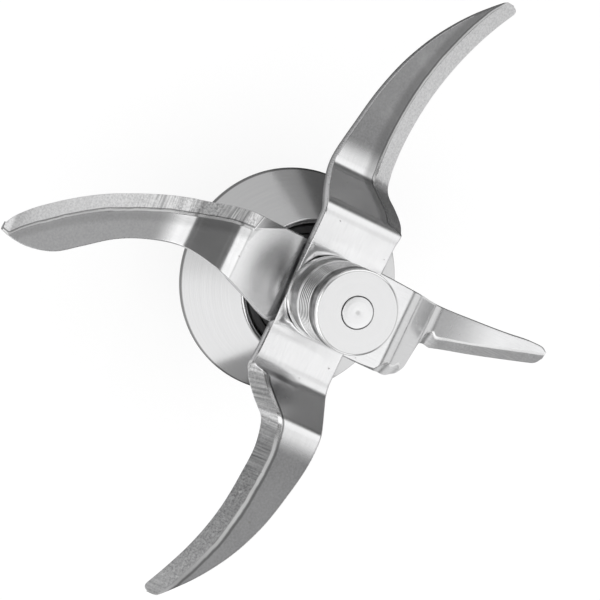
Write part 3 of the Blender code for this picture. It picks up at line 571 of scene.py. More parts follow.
def turned_steel():
    """Fine rings on the faces and round the sides, and a dark spot at the centre: painted shade of the
    centre hole's dimple.
    """
    s = Surface("turned_steel", grey(0.83, 0.005), 0.2, 1.0)
    radius, height = s.polar()
    rings = s.streaks(radius, height, 9000.0, 9000.0, 3.0)
    cloud = s.noise(160.0, detail=2.0)
    # painted shade of the centre hole
    centre = s.span(radius, 0.00015, 0.0007, 0.45, 0.0, smooth=True)
    s.colour(s.mix(centre, s.mix(s.spread(rings), grey(0.74, 0.005), grey(0.83, 0.005)), grey(0.3)))
    s.roughness(s.plus(s.spread(rings, 0.16, 0.25), s.spread(cloud, -0.02, 0.03)))
    s.bump(s.times(rings, s.span(radius, 0.0004, 0.0010)), 0.18, 0.00003)
    return s.mat


def nut_steel():
    """Turned nut with two darker bands round its side, painted reflection of dark surroundings, and dark
    lines in its grooves, painted shade; its top face and the edge of its chamfer are also toned down as
    painted shade.
    """
    s = Surface("turned_nut", grey(0.78, 0.005), 0.22, 1.0)
    radius, height = s.polar()
    level = s.math("DIVIDE", height, MM)
    reach = s.math("DIVIDE", radius, MM)
    rings = s.streaks(radius, height, 8000.0, 6000.0, 3.0)
    tone = s.mix(s.spread(rings), grey(0.90, 0.002), grey(0.97))
    side = s.span(reach, NUT_R - 0.9, NUT_R - 0.6)
    # painted reflection: two dark bands round the side
    moved = s.plus(level, s.spread(s.noise(420.0, detail=3.0), -0.08, 0.08))
    low = s.near(moved, NUT_Z + 4.0, 2.3, 0.7)
    high = s.near(moved, NUT_Z + 15.75, 1.85, 0.3)
    dark = s.times(s.math("MAXIMUM", low, high), side)
    dark = s.times(dark, s.spread(s.fibres((700.0, 700.0, 90.0), 3.0), 0.7, 1.0))
    tone = s.mix(dark, tone, grey(0.10, 0.002))
    # painted shade in the grooves
    turn = s.math("FRACT", s.math("SUBTRACT", level, GROOVE_LOW))
    grooved = s.near(level, GROOVE_LOW + GROOVES / 2, GROOVES / 2, 0.1)
    lines = s.times(s.times(s.near(turn, 0.5, GROOVE_HALF, 0.1), grooved), side)
    tone = s.mix(s.times(lines, 0.8), tone, DARK)
    # painted shade: the top face is toned darker
    face = s.span(height, (NUT_TOP - 0.05) * MM, NUT_TOP * MM, 0.0, 0.6)
    tone = s.mix(face, tone, grey(0.62, 0.005))
    # painted shade line along the edge of the top chamfer
    chamfer_shade = s.times(s.near(reach, NUT_R - 0.36, 0.06, 0.05), 0.5)
    s.colour(s.mix(chamfer_shade, tone, grey(0.3)))
    s.roughness(s.plus(s.spread(rings, 0.17, 0.27), s.times(dark, 0.08)))
    s.bump(rings, 0.16, 0.00003)
    return s.mat


def spun_steel():
    """Spun cone: soft rings, a few hairline scratches and painted shade along the rounded lower rim."""
    s = Surface("spun_cone", grey(0.76, 0.005), 0.22, 1.0)
    radius, height = s.polar()
    rings = s.streaks(radius, height, 3500.0, 3500.0, 4.0)
    cloud = s.noise(70.0, detail=3.0)
    hairs = s.span(s.fibres((5200.0, 420.0, 420.0), 2.0), 0.70, 0.78)
    hairs = s.times(hairs, s.span(s.noise(60.0), 0.5, 0.6))
    tone = s.mix(s.spread(rings), grey(0.73, 0.005), grey(0.80, 0.005))
    tone = s.mix(s.times(hairs, 0.4), tone, grey(0.35))
    # painted shade along the rounded rim
    rim = s.span(radius, (BELL_R - 0.34) * MM, (BELL_R - 0.2) * MM)
    s.colour(s.mix(s.times(rim, 0.8), tone, grey(0.13)))
    s.roughness(s.spread(cloud, 0.18, 0.26))
    s.bump(rings, 0.08, 0.00004)
    return s.mat


def sintered_steel():
    """Pressed and sintered: matt grain with dark pores."""
    s = Surface("sintered", grey(0.40, 0.01), 0.45, 1.0)
    grain = s.noise(5200.0, detail=4.0)
    pores = s.span(s.noise(2600.0, detail=1.0), 0.66, 0.74)
    base = s.mix(s.spread(grain), grey(0.33, 0.005), grey(0.48, 0.005))
    s.colour(s.mix(pores, base, DARK))
    s.roughness(s.spread(grain, 0.38, 0.55))
    s.bump(s.math("SUBTRACT", grain, pores), 0.4, 0.00006)
    return s.mat


def bearing_steel():
    """Finely ground rings."""
    s = Surface("bearing_steel", grey(0.62, 0.02), 0.2, 1.0)
    radius, height = s.polar()
    rings = s.streaks(radius, height, 6000.0, 6000.0, 3.0)
    s.colour(s.mix(s.spread(rings), grey(0.56, 0.015), grey(0.68, 0.02)))
    s.roughness(s.spread(rings, 0.15, 0.26))
    s.bump(rings, 0.1, 0.00003)
    return s.mat


def moulded(name, colour, lift, rough):
    """Fine grain, and a slow change of brightness from the colour to lift times as bright."""
    s = Surface(name, colour, rough)
    grain = s.noise(3200.0, detail=3.0)
    cloud = s.noise(60.0, detail=2.0)
    s.colour(s.mix(s.spread(cloud), colour, tuple(c * lift for c in colour)))
    s.roughness(s.spread(grain, rough - 0.06, rough + 0.08))
    s.bump(grain, 0.25, 0.00005)
    return s.mat


POLISHED = polished_steel()
GROUND = ground_steel()
SHEARED = sheared_steel()
TURNED = turned_steel()
NUT = nut_steel()
SPUN = spun_steel()
SINTERED = sintered_steel()
BEARING = bearing_steel()
PLASTIC = moulded("moulded_nylon", grey(0.052, 0.001), 1.45, 0.42)
NYLON = moulded("cage_nylon", (0.50, 0.46, 0.35), 1.15, 0.48)
RUBBER = moulded("black_rubber", grey(0.052), 1.4, 0.62)
SILICONE = moulded("grey_silicone", (0.28, 0.29, 0.30), 1.12, 0.55)


# Blades

# Sections of a wing, from the axis outwards
HUB_STATIONS = [9.0, 11.0, 13.0]
BEND_MARGIN = 0.12  # from each end of the crank to the section outside it
BEND_STEP = 0.3  # between sections on the crank
WING_STEP = 0.8  # between sections past it
CLOSEST = 0.02  # sections nearer than this are left out

EDGE_ROUND = 0.08  # rounding of the cutting edge's two corners
UNDER_ROUND = 0.2
BEVEL_ROUND = 0.5
FAR_AWAY = 50.0  # place beside the bevel of points that no line should reach
FACE_POLISHED = 0
FACE_GROUND = 1
FACE_SIDE = 2


def curve_at(points, x):
    """Smooth curve through (distance, offset) points."""
    knots, values = zip(*points)
    if x <= knots[0]:
        return values[0]
    if x >= knots[-1]:
        return values[-1]
    gaps = [b - a for a, b in zip(knots, knots[1:])]
    steps = [(b - a) / gap for a, b, gap in zip(values, values[1:], gaps)]
    slopes = [0.0]
    for i in range(len(steps) - 1):
        slopes.append((steps[i] * gaps[i + 1] + steps[i + 1] * gaps[i]) / (gaps[i] + gaps[i + 1]))
    slopes.append(1.5 * steps[-1] - slopes[-1] / 2)
    i = max(k for k in range(len(steps)) if knots[k] <= x)
    h = gaps[i]
    t = (x - knots[i]) / h
    return (values[i] * (1 + 2 * t) * (1 - t) ** 2 + slopes[i] * h * t * (1 - t) ** 2
            + values[i + 1] * t * t * (3 - 2 * t) + slopes[i + 1] * h * t * t * (t - 1))


def eased(r, start, span):
    """0 before the start, 1 after the span, and a soft rise between."""
    t = min(1.0, max(0.0, (r - start) / span))
    return t * t * (3 - 2 * t)


class Crank:
    """Side view of a wing: bend, slope, bend back to the wing's own angle."""

    def __init__(self, middle, rise, wing_angle):
        self.sign = 1 if rise > 0 else -1
        self.wing = wing_angle
        first_run = BEND_R * sin(CRANK_ANGLE)
        self.first_rise = BEND_R * (1 - cos(CRANK_ANGLE))
        second_run = BEND_R * (sin(CRANK_ANGLE) - sin(wing_angle))
        second_rise = BEND_R * (cos(wing_angle) - cos(CRANK_ANGLE))
        slope_run = (abs(rise) - self.first_rise - second_rise) / tan(CRANK_ANGLE)
        self.start = middle - (first_run + slope_run + second_run) / 2
        self.slope = self.start + first_run
        self.slope_end = self.slope + slope_run
        self.end = self.slope_end + second_run
        self.rise = abs(rise)

    def at(self, r):
        """Height over the hub's top face, and the surface's angle."""
        if r <= self.start:
            return 0.0, 0.0
        if r <= self.slope:
            angle = asin((r - self.start) / BEND_R)
            height = BEND_R * (1 - cos(angle))
        elif r <= self.slope_end:
            angle = CRANK_ANGLE
            height = self.first_rise + (r - self.slope) * tan(CRANK_ANGLE)
        elif r <= self.end:
            angle = asin(min(1.0, sin(self.wing) + (self.end - r) / BEND_R))
            height = self.rise - BEND_R * (cos(self.wing) - cos(angle))
        else:
            angle = self.wing
            height = self.rise + (r - self.end) * tan(self.wing)
        return self.sign * height, self.sign * angle


class Wing:
    """Half of a blade: two outline curves, a crank and a bevel along the cutting edge."""

    fade = (0.2, 4.6, 21.0)     # from the crank's end: change starts, second value, third value
    band = 0.25                 # half width of the softened line beside the bevel
    lengthwise = 0.1            # marks along the bevel
    cross = (0.2, 0.2)          # marks across it, at root and tip
    coarse = 0.0
    flip = 1                    # -1 puts the painted shade line on the bevel's side
    # strength of the painted shade line
    shade_line_strength = 1.0
    shade = 0.0                 # painted shade: dark zone beside the shade line
    fading = 0.0                # how far the painted highlight line fades towards the tip
    start = BEVEL_START
    corner = None               # where a patch that is ground off the hub's corner begins and ends

    def __init__(self, hub, spine, edge, crank, bevel, satin_and_shade, **finish):
        """Satin: how satin the face is on the hub, past the crank and at the tip; the same values are also
        painted shade: the wings' darker reflection and the lower hub's shade under the upper blade.
        """
        spine_start, edge_start, half_width = hub
        self.spine = [(spine_start, half_width)] + spine
        self.edge = [(edge_start, -half_width)] + edge
        self.reach = spine[-1][0]
        self.crank = Crank(*crank)
        self.bevel = bevel
        self.satin_and_shade = satin_and_shade
        for key, value in finish.items():
            setattr(self, key, value)

    def stations(self):
        """Distances of the sections: close along bends, outline corners and the tip."""
        c = self.crank
        marks = [*HUB_STATIONS, c.start - BEND_MARGIN, c.start]
        r = c.start
        while r < c.end + 0.5:
            r += BEND_STEP
            marks.append(r)
        marks += [c.slope, c.slope_end, c.end, c.end + BEND_MARGIN]
        last = self.reach - TIP_ROUNDING
        while r < last - WING_STEP:
            r += WING_STEP
            marks.append(r)
        marks += [last + TIP_ROUNDING * sin(radians(a)) for a in range(0, 91, 6)]
        marks.sort()
        kept = [marks[0]]
        for mark in marks[1:]:
            if mark - kept[-1] > CLOSEST:
                kept.append(mark)
        return kept

    def ground(self, r):
        """How far the grinding has run in: 0 on the hub, 1 on the wing."""
        main = eased(r, self.start, BEVEL_RUN_IN)
        if self.corner:
            low, high = self.corner
            main += eased(r, low, CORNER_RUN_IN) * (1 - eased(r, high, CORNER_RUN_OUT))
        return main

    def looks(self, r):
        """What the materials read for a whole section; r is below zero on a blade's second wing."""
        out = abs(r)
        hub, near, far = self.satin_and_shade
        begins, past, ends = (self.crank.end + x for x in self.fade)
        dull_and_shade = hub * (1 - eased(out, self.crank.start - 1.5, 1.5))
        dull_and_shade += (near - dull_and_shade) * eased(out, begins, past - begins)
        dull_and_shade += (far - near) * eased(out, past, ends - past)
        cross, far_cross = self.cross
        cross += (far_cross - cross) * eased(out, self.crank.end + 3.0, 12.0)
        coarse = self.coarse * eased(out, self.crank.end - 1.0, 2.0) * (1 - 0.1 * eased(out, 52.0, 12.0))
        # painted highlight line beside the bevel, fading towards the tip
        highlight_line = 1.0 - self.fading * eased(out, 44.0, 18.0)
        shade = self.shade * self.ground(out)
        return {"along": r * MM, "dull_and_shade": dull_and_shade, "lengthwise": self.lengthwise, "cross": cross,
                "coarse": coarse, "shade_line_strength": self.shade_line_strength, "highlight_line": highlight_line, "shade": shade}

    def section(self, r):
        """Offsets of spine and edge, and the bevel's width, drop, width below and rise from below."""
        spine = curve_at(self.spine, r)
        edge = curve_at(self.edge, r)
        step = BEVEL_SLOPE_SPAN
        slope = (curve_at(self.edge, r + step) - curve_at(self.edge, r - step)) / (2 * step)
        width = spine - edge
        f = self.ground(r)
        stretch = hypot(1.0, min(abs(slope), BEVEL_STRETCH))
        whole = EDGE_BREAK + (self.bevel * stretch - EDGE_BREAK) * f
        inner = edge + min(whole, TIP_SHARE * width)
        tip = min(1.0, max(0.0, (r - self.reach + TIP_ROUNDING) / TIP_ROUNDING))
        shrink = max(min(0.9, TIP_END / width), sqrt(max(0.0, 1 - tip ** TIP_BLUNT)))
        spine = inner + (spine - inner) * shrink
        edge = inner + (edge - inner) * shrink
        width = spine - edge
        bevel = inner - edge
        full = min(1.0, bevel / whole)
        drop = EDGE_BREAK + (BEVEL_DROP * full - EDGE_BREAK) * f
        under = min(EDGE_BREAK + (bevel * UNDER_BEVEL - EDGE_BREAK) * f, 0.6 * width)
        rise = EDGE_BREAK + ((BLADE_THICKNESS - BEVEL_DROP - EDGE_LAND) * full - EDGE_BREAK) * f
        return spine, edge, bevel, drop, under, rise

    def ring(self, r, side):
        """Points of a section, and for each of them its place beside the bevel and its depth."""
        spine, edge, bevel, drop, under, rise = self.section(r)
        t = BLADE_THICKNESS
        inner = edge + bevel
        half = min(self.band, 0.4 * bevel, 0.5 * (spine - inner)) * self.ground(r) + 0.01
        corners = [(spine, 0.0, SIDE_ROUND), (spine, t, SIDE_ROUND), (edge + under, t, UNDER_ROUND),
                   (edge, t - rise, EDGE_ROUND), (edge, drop, EDGE_ROUND),
                   (inner - half, drop * half / bevel, BEVEL_ROUND), (inner + half, 0.0, BEVEL_ROUND)]
        outline = rounded(corners, steps=4)
        if side < 0:
            outline = outline[::-1]
        height, angle = self.crank.at(r)
        points = [(side * (r + d * sin(angle)), side * o, height - d * cos(angle)) for o, d in outline]
        started = self.ground(r) > 0.3
        places = [self.flip * ((o - inner) / self.band if started and d < BLADE_THICKNESS / 2 else FAR_AWAY)
                  for o, d in outline]
        return points, places, [d * MM for o, d in outline]


def blade(first, second, top, turn_z):
    """Strip from the tip of the second wing, which lies towards -X, to the tip of the first."""
    c, s = cos(turn_z), sin(turn_z)
    stations = [(r, second, -1) for r in reversed(second.stations())]
    stations += [(r, first, 1) for r in first.stations()]
    rings = []
    values = {}
    for r, wing, side in stations:
        points, places, depths = wing.ring(r, side)
        shared = wing.looks(side * r)
        rings.append([(c * x - s * y, s * x + c * y, z + top) for x, y, z in points])
        for (x, y, z), place, depth in zip(points, places, depths):
            own = {"across": y * MM, "inner": place, "depth": depth}
            for key, value in (shared | own).items():
                values.setdefault(key, []).append(value)
    return sweep(rings, [POLISHED, GROUND, SHEARED], values)


def mark_faces(mesh, turn_z, first, second):
    """Gives ground and side faces their material by their slope and place."""
    c, s = cos(-turn_z), sin(-turn_z)
    for poly in mesh.polygons:
        x, y, z = (v / MM for v in poly.center)
        along = c * x - s * y
        wing, side = (first, 1) if along > 0 else (second, -1)
        offset = side * (s * x + c * y)
        towards_edge = -side * (s * poly.normal.x + c * poly.normal.y)
        spine, edge, bevel, *rest = wing.section(abs(along))
        on_bevel = wing.ground(abs(along)) > 0.02 and offset < edge + bevel - 0.1
        if towards_edge > 0.2 and on_bevel:
            poly.material_index = FACE_GROUND
        elif abs(towards_edge) > 0.5:
            poly.material_index = FACE_SIDE
        else:
            poly.material_index = FACE_POLISHED


def bore_tool(top):
    """Prism with two flats for the hole on the spindle."""
    radius = SPINDLE_R + FIT
    half = asin((SEAT_FLAT + FIT) / radius)
    right = [-half + 2 * half * i / 24 for i in range(25)]
    outline = [on_circle(radius, a) for a in right + [a + pi for a in right]]
    return prism(outline, top - 2 * BLADE_THICKNESS, top + BLADE_THICKNESS)


def make_blades():
    upper_hub = (UPPER_HUB_STRAIGHT, UPPER_HUB_STRAIGHT, UPPER_HUB_HALF_WIDTH)
    lower_hub = (LOWER_HUB_TAPER, UPPER_HUB_STRAIGHT, LOWER_HUB_HALF_WIDTH)
    down = Wing(upper_hub, DOWN_SPINE, DOWN_EDGE, DOWN_CRANK, BEVEL_WIDTH, satin_and_shade=(0.0, 1.0, 0.95),
                shade=0.45)
    up = Wing(upper_hub, UP_SPINE, UP_EDGE, UP_CRANK, BEVEL_WIDTH, satin_and_shade=(0.0, 1.0, 0.95), band=0.42,
              cross=(0.9, 0.6), coarse=0.85, fading=0.7)
    # its hub value is painted shade under the upper blade
    long = Wing(lower_hub, LONG_SPINE, LONG_EDGE, LONG_CRANK, LONG_BEVEL_WIDTH, satin_and_shade=(0.45, 0.9, 0.9),
                cross=(1.0, 0.3), flip=-1, shade=0.25)
    short = Wing(lower_hub, SHORT_SPINE, SHORT_EDGE, SHORT_CRANK, SHORT_BEVEL_WIDTH, satin_and_shade=(0.0, 0.75, 0.05),
                 fade=(-1.8, 0.2, 14.0), band=0.3, lengthwise=0.85, shade_line_strength=0.0, start=SHORT_BEVEL_START,
                 corner=CORNER_PATCH)
    rows = [("upper_blade", down, up, UPPER_BLADE_TOP, 0.0),
            ("lower_blade", long, short, LOWER_BLADE_TOP, radians(90))]
    for name, first, second, top, turn_z in rows:
        mesh = blade(first, second, top, turn_z)
        mark_faces(mesh, turn_z, first, second)
        add(name, cut(mesh, bore_tool(top)), "rotor")


# Turned pieces

STAR_POINTS = 144
LUG_STEPS = 16


def make_nut():
    bore = THREAD_R + NUT_THREAD_PLAY
    band = NUT_R - NUT_BAND_DEPTH
    neck = NUT_R - NUT_NECK_DEPTH
    profile = [
        (bore, NUT_TOP, 0.06), (NUT_R - 0.34, NUT_TOP, 0.08), (NUT_R - 0.05, NUT_TOP - 0.1, 0.08),
        (NUT_R, NUT_TOP - 0.3, 0.08), (NUT_R, NUT_TOP - 2.2, 0.2), (band, NUT_TOP - 2.5, 0.15),
        (band, NUT_TOP - 4.2, 0.2), (NUT_R, NUT_TOP - 4.5, 0.1),
    ]
    for i in range(GROOVES):
        z = GROOVE_LOW + GROOVES - 0.5 - i
        profile += [(NUT_R, z + GROOVE_HALF, 0.05), (NUT_R - GROOVE_DEPTH, z, 0.08),
                    (NUT_R, z - GROOVE_HALF, 0.05)]
    profile += [
        (NUT_R, NUT_Z + 6.4, 0.5), (NUT_R - 0.2, NUT_Z + 5.4, 0.5), (neck, NUT_Z + 2.4, 0.3),
        (neck, NUT_Z + 1.7, 0.2), (NUT_R, NUT_Z + 1.35, 0.2), (NUT_R, NUT_Z, 0.15),
        (bore + 0.4, NUT_Z, 0.3), (bore, NUT_Z + 0.4, 0.3),
    ]
    add("cap_nut", revolve(profile, NUT, 192), "rotor")


def make_spindle():
    groove = SPINDLE_R - SPINDLE_GROOVE_DEPTH
    profile = [
        (0.0, NUT_TOP + 0.232), (0.5, NUT_TOP + 0.236, 0.8), (1.2, NUT_TOP + 0.25, 1.0),
        (2.2, NUT_TOP + 0.24, 1.2), (THREAD_R - 0.1, NUT_TOP + 0.2, 0.1),
        (THREAD_R, NUT_TOP + 0.08, 0.06), (THREAD_R, NUT_Z - FIT),
        (SPINDLE_R - EDGE_BREAK, NUT_Z - FIT), (SPINDLE_R, NUT_Z - FIT - EDGE_BREAK),
        (SPINDLE_R, GROOVE_TOP), (groove, GROOVE_TOP), (groove, GROOVE_Z), (SPINDLE_R, GROOVE_Z),
        (SPINDLE_R, SPINDLE_BOTTOM + SPINDLE_CHAMFER), (SPINDLE_R - SPINDLE_CHAMFER, SPINDLE_BOTTOM),
        (0.0, SPINDLE_BOTTOM),
    ]
    mesh = revolve(profile, TURNED, 128, closed=False)
    wide = 2 * SPINDLE_R
    for side in (-1, 1):
        low, high = sorted((side * SEAT_FLAT, side * wide))
        outline = [(-wide, low), (wide, low), (wide, high), (-wide, high)]
        mesh = cut(mesh, prism(outline, COLLAR_TOP - FIT, NUT_Z))
    mesh = cut(mesh, pin_hole())
    mesh.set_sharp_from_angle(angle=radians(40))
    add("spindle", mesh, "rotor")


def star_ring(shrink, share, z):
    """Ring of points: a star where share is 1, a circle where it is 0."""
    ring = []
    for k in range(STAR_POINTS):
        angle = 2 * pi * k / STAR_POINTS
        star = STAR_R - shrink - STAR_LOBE * cos(COUPLING_LOBES * angle)
        ring.append((*on_circle(star * share + (COUPLING_HUB_R - shrink) * (1 - share), angle), z))
    return ring


def make_coupling():
    levels = [
        (0.7, 1.0, 0.0), (0.55, 1.0, 0.04), (0.12, 1.0, 0.5), (0.0, 1.0, 0.75),
        (0.0, 1.0, STAR_LENGTH - 0.4), (0.1, 1.0, STAR_LENGTH - 0.15), (0.25, 0.9, STAR_LENGTH),
        (0.05, 0.05, STAR_LENGTH + 0.12), (0.0, 0.0, STAR_LENGTH + 0.3),
        (0.0, 0.0, COUPLING_TOP - 0.25), (0.2, 0.0, COUPLING_TOP),
    ]
    mesh = sweep([star_ring(*level) for level in levels], [SINTERED])
    mesh = cut(mesh, round_tool(SPINDLE_R + FIT, COUPLING_FLOOR, 2 * COUPLING_TOP))
    mesh = cut(mesh, pin_hole())
    mesh.set_sharp_from_angle(angle=radians(35))
    add("drive_coupling", mesh, "rotor")
    half = STAR_R - STAR_LOBE - EDGE_BREAK
    profile = [(0.0, half), (PIN_R, half, 0.3), (PIN_R, -half, 0.3), (0.0, -half)]
    mesh = revolve(profile, BEARING, 64, closed=False)
    add("coupling_pin", laid_across(mesh), "rotor")


def lug(middle):
    """Lug that stands out of the barrel at an angle, with its free edges rounded."""
    arc = [middle - LUG_ANGLE / 2 + LUG_ANGLE * i / LUG_STEPS for i in range(LUG_STEPS + 1)]
    outline = [on_circle(BARREL_R + LUG_REACH, a) for a in arc]
    outline += [on_circle(BARREL_R - LUG_ROOT, a) for a in reversed(arc)]
    mesh = prism(outline, LUG_Z, LUG_Z + LUG_THICKNESS)
    bm = bmesh.new()
    bm.from_mesh(mesh)
    edges = [e for e in bm.edges if e.calc_face_angle() > radians(50)
             and min(hypot(v.co.x, v.co.y) for v in e.verts) > BARREL_R * MM]
    bmesh.ops.bevel(bm, geom=edges, offset=LUG_ROUNDING * MM, segments=4, profile=0.5, affect="EDGES")
    bm.to_mesh(mesh)
    bm.free()
    return mesh


def make_housing():
    groove = BORE_R + HOUSING_GROOVE_DEPTH
    profile = [
        (NECK_R, NECK_TOP, 0.5), (NECK_R, FLANGE_TOP, 0.3), (FLANGE_R, FLANGE_TOP, 0.5),
        (FLANGE_R, FLANGE_Z + FLANGE_CHAMFER, 0.4), (FLANGE_R - FLANGE_CHAMFER, FLANGE_Z, 0.4),
        (BARREL_R, FLANGE_Z, 0.5), (BARREL_R, HOUSING_Z + BARREL_CHAMFER, 0.6),
        (BARREL_R - BARREL_CHAMFER, HOUSING_Z, 0.3), (BORE_R, HOUSING_Z, 0.25),
        (BORE_R, GROOVE_Z, 0.05), (groove, GROOVE_Z, 0.05), (groove, GROOVE_TOP, 0.05),
        (BORE_R, GROOVE_TOP, 0.05), (BORE_R, BEARING_TOP + FIT, 0.05),
        (SHOULDER_R, BEARING_TOP + FIT, 0.1), (SHOULDER_R, SEAL_Z - FIT, 0.1),
        (BORE_R, SEAL_Z - FIT, 0.05), (BORE_R, NECK_TOP, 0.3),
    ]
    mesh = revolve(profile, PLASTIC, 192)
    for k in range(LUG_COUNT):
        mesh = cut(mesh, lug(2 * pi * k / LUG_COUNT - pi / 2), "UNION")
    mesh.set_sharp_from_angle(angle=radians(38))
    add("bearing_housing", mesh, "housing")
    inner = SPINDLE_R + 2 * FIT
    outer = BORE_R - FIT
    profile = [(inner, COVER_Z, 0.3), (outer, COVER_Z, 0.3), (outer, COVER_TOP, 0.3),
               (inner, COVER_TOP, 0.3)]
    add("bottom_cover", revolve(profile, PLASTIC, 160), "housing")


def make_seals():
    top = FLANGE_Z - FIT
    bottom = top - BOWL_SEAL_HEIGHT
    inner = BARREL_R + FIT
    outer = inner + BOWL_SEAL_WIDTH
    profile = [
        (outer - BOWL_SEAL_RIB, top, 0.3), (outer, top - BOWL_SEAL_RIB, 0.35),
        (outer - BOWL_SEAL_RIB, (top + bottom) / 2, 0.4), (outer, bottom + BOWL_SEAL_RIB, 0.35),
        (outer - BOWL_SEAL_RIB, bottom, 0.3), (inner, bottom, 0.3), (inner, top, 0.3),
    ]
    add("bowl_seal", revolve(profile, SILICONE, 192), "housing")
    outer = BORE_R - FIT
    shell = outer - SEAL_WEB
    web_z = SEAL_TOP - SEAL_WEB
    dish_z = SEAL_TOP - SEAL_DISH
    lip = COLLAR_R + FIT
    profile = [
        (outer, SEAL_TOP, 0.3), (outer, SEAL_Z, 0.3), (shell, SEAL_Z, 0.3), (shell, web_z, 0.3),
        (lip + SEAL_LIP, web_z, 0.2), (lip + SEAL_LIP, SEAL_Z + SEAL_LIP, 0.2),
        (lip + SEAL_LIP / 2, SEAL_Z, 0.15), (lip, SEAL_Z + SEAL_LIP, 0.1),
        (lip + SEAL_LIP / 2, web_z, 0.2), (lip, SEAL_TOP, 0.15), (lip + 1.3, SEAL_TOP, 0.2),
        (lip + 1.6, dish_z, 0.2), (shell - 0.3, dish_z, 0.2), (shell, SEAL_TOP, 0.2),
    ]
    add("spindle_seal", revolve(profile, RUBBER, 160), "housing")


def make_bell():
    slope = (MOUTH_Z - RIM_Z) / (BELL_R - BELL_MOUTH_R - BELL_WALL)
    inset = BELL_WALL / sin(atan(slope))
    inner = BELL_R - BELL_WALL
    skirt_z = RIM_Z - BELL_SKIRT
    knee_z = RIM_Z + (BELL_R - inset - inner) * slope
    joint_z = RIM_Z + (BELL_R - inset - BELL_MOUTH_R) * slope
    profile = [
        (BELL_MOUTH_R, MOUTH_Z, 0.45), (BELL_MOUTH_R + BELL_WALL, MOUTH_Z, 0.5), (BELL_R, RIM_Z, 0.5),
        (BELL_R, skirt_z, 0.1), (inner, skirt_z, 0.1), (inner, knee_z, 0.4),
        (BELL_MOUTH_R, min(joint_z, MOUTH_Z - BELL_MOUTH_DEPTH), 0.8),
    ]
    mesh = revolve(profile, SPUN, 256, arc_steps=7)
    add("bell_cover", mesh, "housing")


def make_collar():
    flange_z = COLLAR_TOP - COLLAR_FLANGE
    profile = [
        (COLLAR_FLANGE_R, COLLAR_TOP, 0.25), (COLLAR_FLANGE_R - 0.3, flange_z, 0.25),
        (COLLAR_R, flange_z, 0.8), (COLLAR_R, COLLAR_BOTTOM, 0.2),
        (SPINDLE_R + FIT, COLLAR_BOTTOM, 0.2), (SPINDLE_R + FIT, COLLAR_TOP, 0.2),
    ]
    add("blade_collar", revolve(profile, TURNED, 160), "rotor")


make_blades()
make_nut()
make_spindle()
make_bell()
make_collar()
make_coupling()
make_housing()
make_seals()


# Looks of the nodes that model.glb brings

NODE_FINISH = {
    "bearing_housing": PLASTIC,
    "bottom_cover": PLASTIC,
    "bowl_seal": SILICONE,
    "spindle_seal": RUBBER,
    "spindle": TURNED,
    "drive_coupling": SINTERED,
}
for name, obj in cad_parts.items():
    finish = NODE_FINISH.get(name, NYLON if "cage" in name else BEARING)
    for row in obj.material_slots:
        row.material = finish


# Studio

# Windows of light over the object: range of x, range of y of the direction, softness, strength
WINDOWS = [
    (-0.64, 0.12, -0.57, -0.24, 0.05, 1.22),
    (0.00, 0.46, -0.52, -0.24, 0.05, 1.08),
    (0.36, 0.76, -0.55, 0.10, 0.06, 1.25),
    (0.34, 0.76, 0.00, 0.50, 0.06, 1.05),
    (-0.55, 0.05, -0.20, 0.62, 0.05, 1.60),
    (-0.30, 0.52, -1.05, -0.70, 0.05, 0.86),
    (-0.95, -0.58, -0.66, 0.20, 0.08, 0.42),
    (-1.05, -0.80, -0.25, 0.75, 0.10, 0.90),
    (0.80, 1.05, 0.10, 0.75, 0.10, 0.80),
    (-0.80, -0.30, 0.70, 0.98, 0.10, 0.80),
    (0.30, 0.80, 0.66, 0.98, 0.10, 0.70),
]
DIM_LOW = 0.08  # brightness between the windows
DIM_HIGH = 0.23
HORIZON = 0.08  # height of the direction where the windows begin
HORIZON_SOFT = 0.06

# Lamps: name, place, width in metres, power
LAMPS = [
    ("lamp_left", (-0.5, 0.5, 0.8), 0.9, 2.7),
    ("lamp_top", (0.2, -0.2, 1.0), 1.2, 2.9),
]
LAMP_TARGET = (0.0, 0.0, 0.03)

FLOOR_HALF = 3.0  # in metres
FLOOR_Z = -0.0002
FLOOR_GLOW = 1.05
FLOOR_GLOW_SHARE = 0.8


def make_world():
    """Studio above the object, which metal mirrors: bright windows with dim gaps between them."""
    world = bpy.data.worlds.new("studio")
    bpy.context.scene.world = world
    world.use_nodes = True
    w = Nodes(world.node_tree, "Generated")
    x, y, z = w.separate()
    total = w.span(w.noise(3.2), 0.35, 0.65, DIM_LOW, DIM_HIGH)
    uneven = w.span(w.noise(2.3), 0.35, 0.65, 0.90, 1.06)
    for x_low, x_high, y_low, y_high, soft, strength in WINDOWS:
        box = w.times(w.between(x, x_low, x_high, soft), w.between(y, y_low, y_high, soft))
        above = w.span(z, HORIZON - HORIZON_SOFT, HORIZON + HORIZON_SOFT, smooth=True)
        lit = w.times(w.times(w.times(box, above), strength), uneven)
        total = w.math("MAXIMUM", lit, total)
    mix = w.node("ShaderNodeMix", data_type="FLOAT")
    w.link(w.node("ShaderNodeLightPath").outputs["Is Camera Ray"], mix.inputs[0])
    w.link(total, mix.inputs[2])
    w.link(1.0, mix.inputs[3])
    background = w.tree.nodes["Background"]
    w.link(mix.outputs[0], background.inputs["Strength"])
    w.link((1.0, 1.0, 1.0, 1.0), background.inputs["Color"])


def flat_mesh(name, outline, mat):
    """One face through points given in metres."""
    mesh = bpy.data.meshes.new(name)
    mesh.from_pydata([(x, y, 0.0) for x, y in outline], [], [tuple(range(len(outline)))])
    mesh.materials.append(mat)
    return mesh


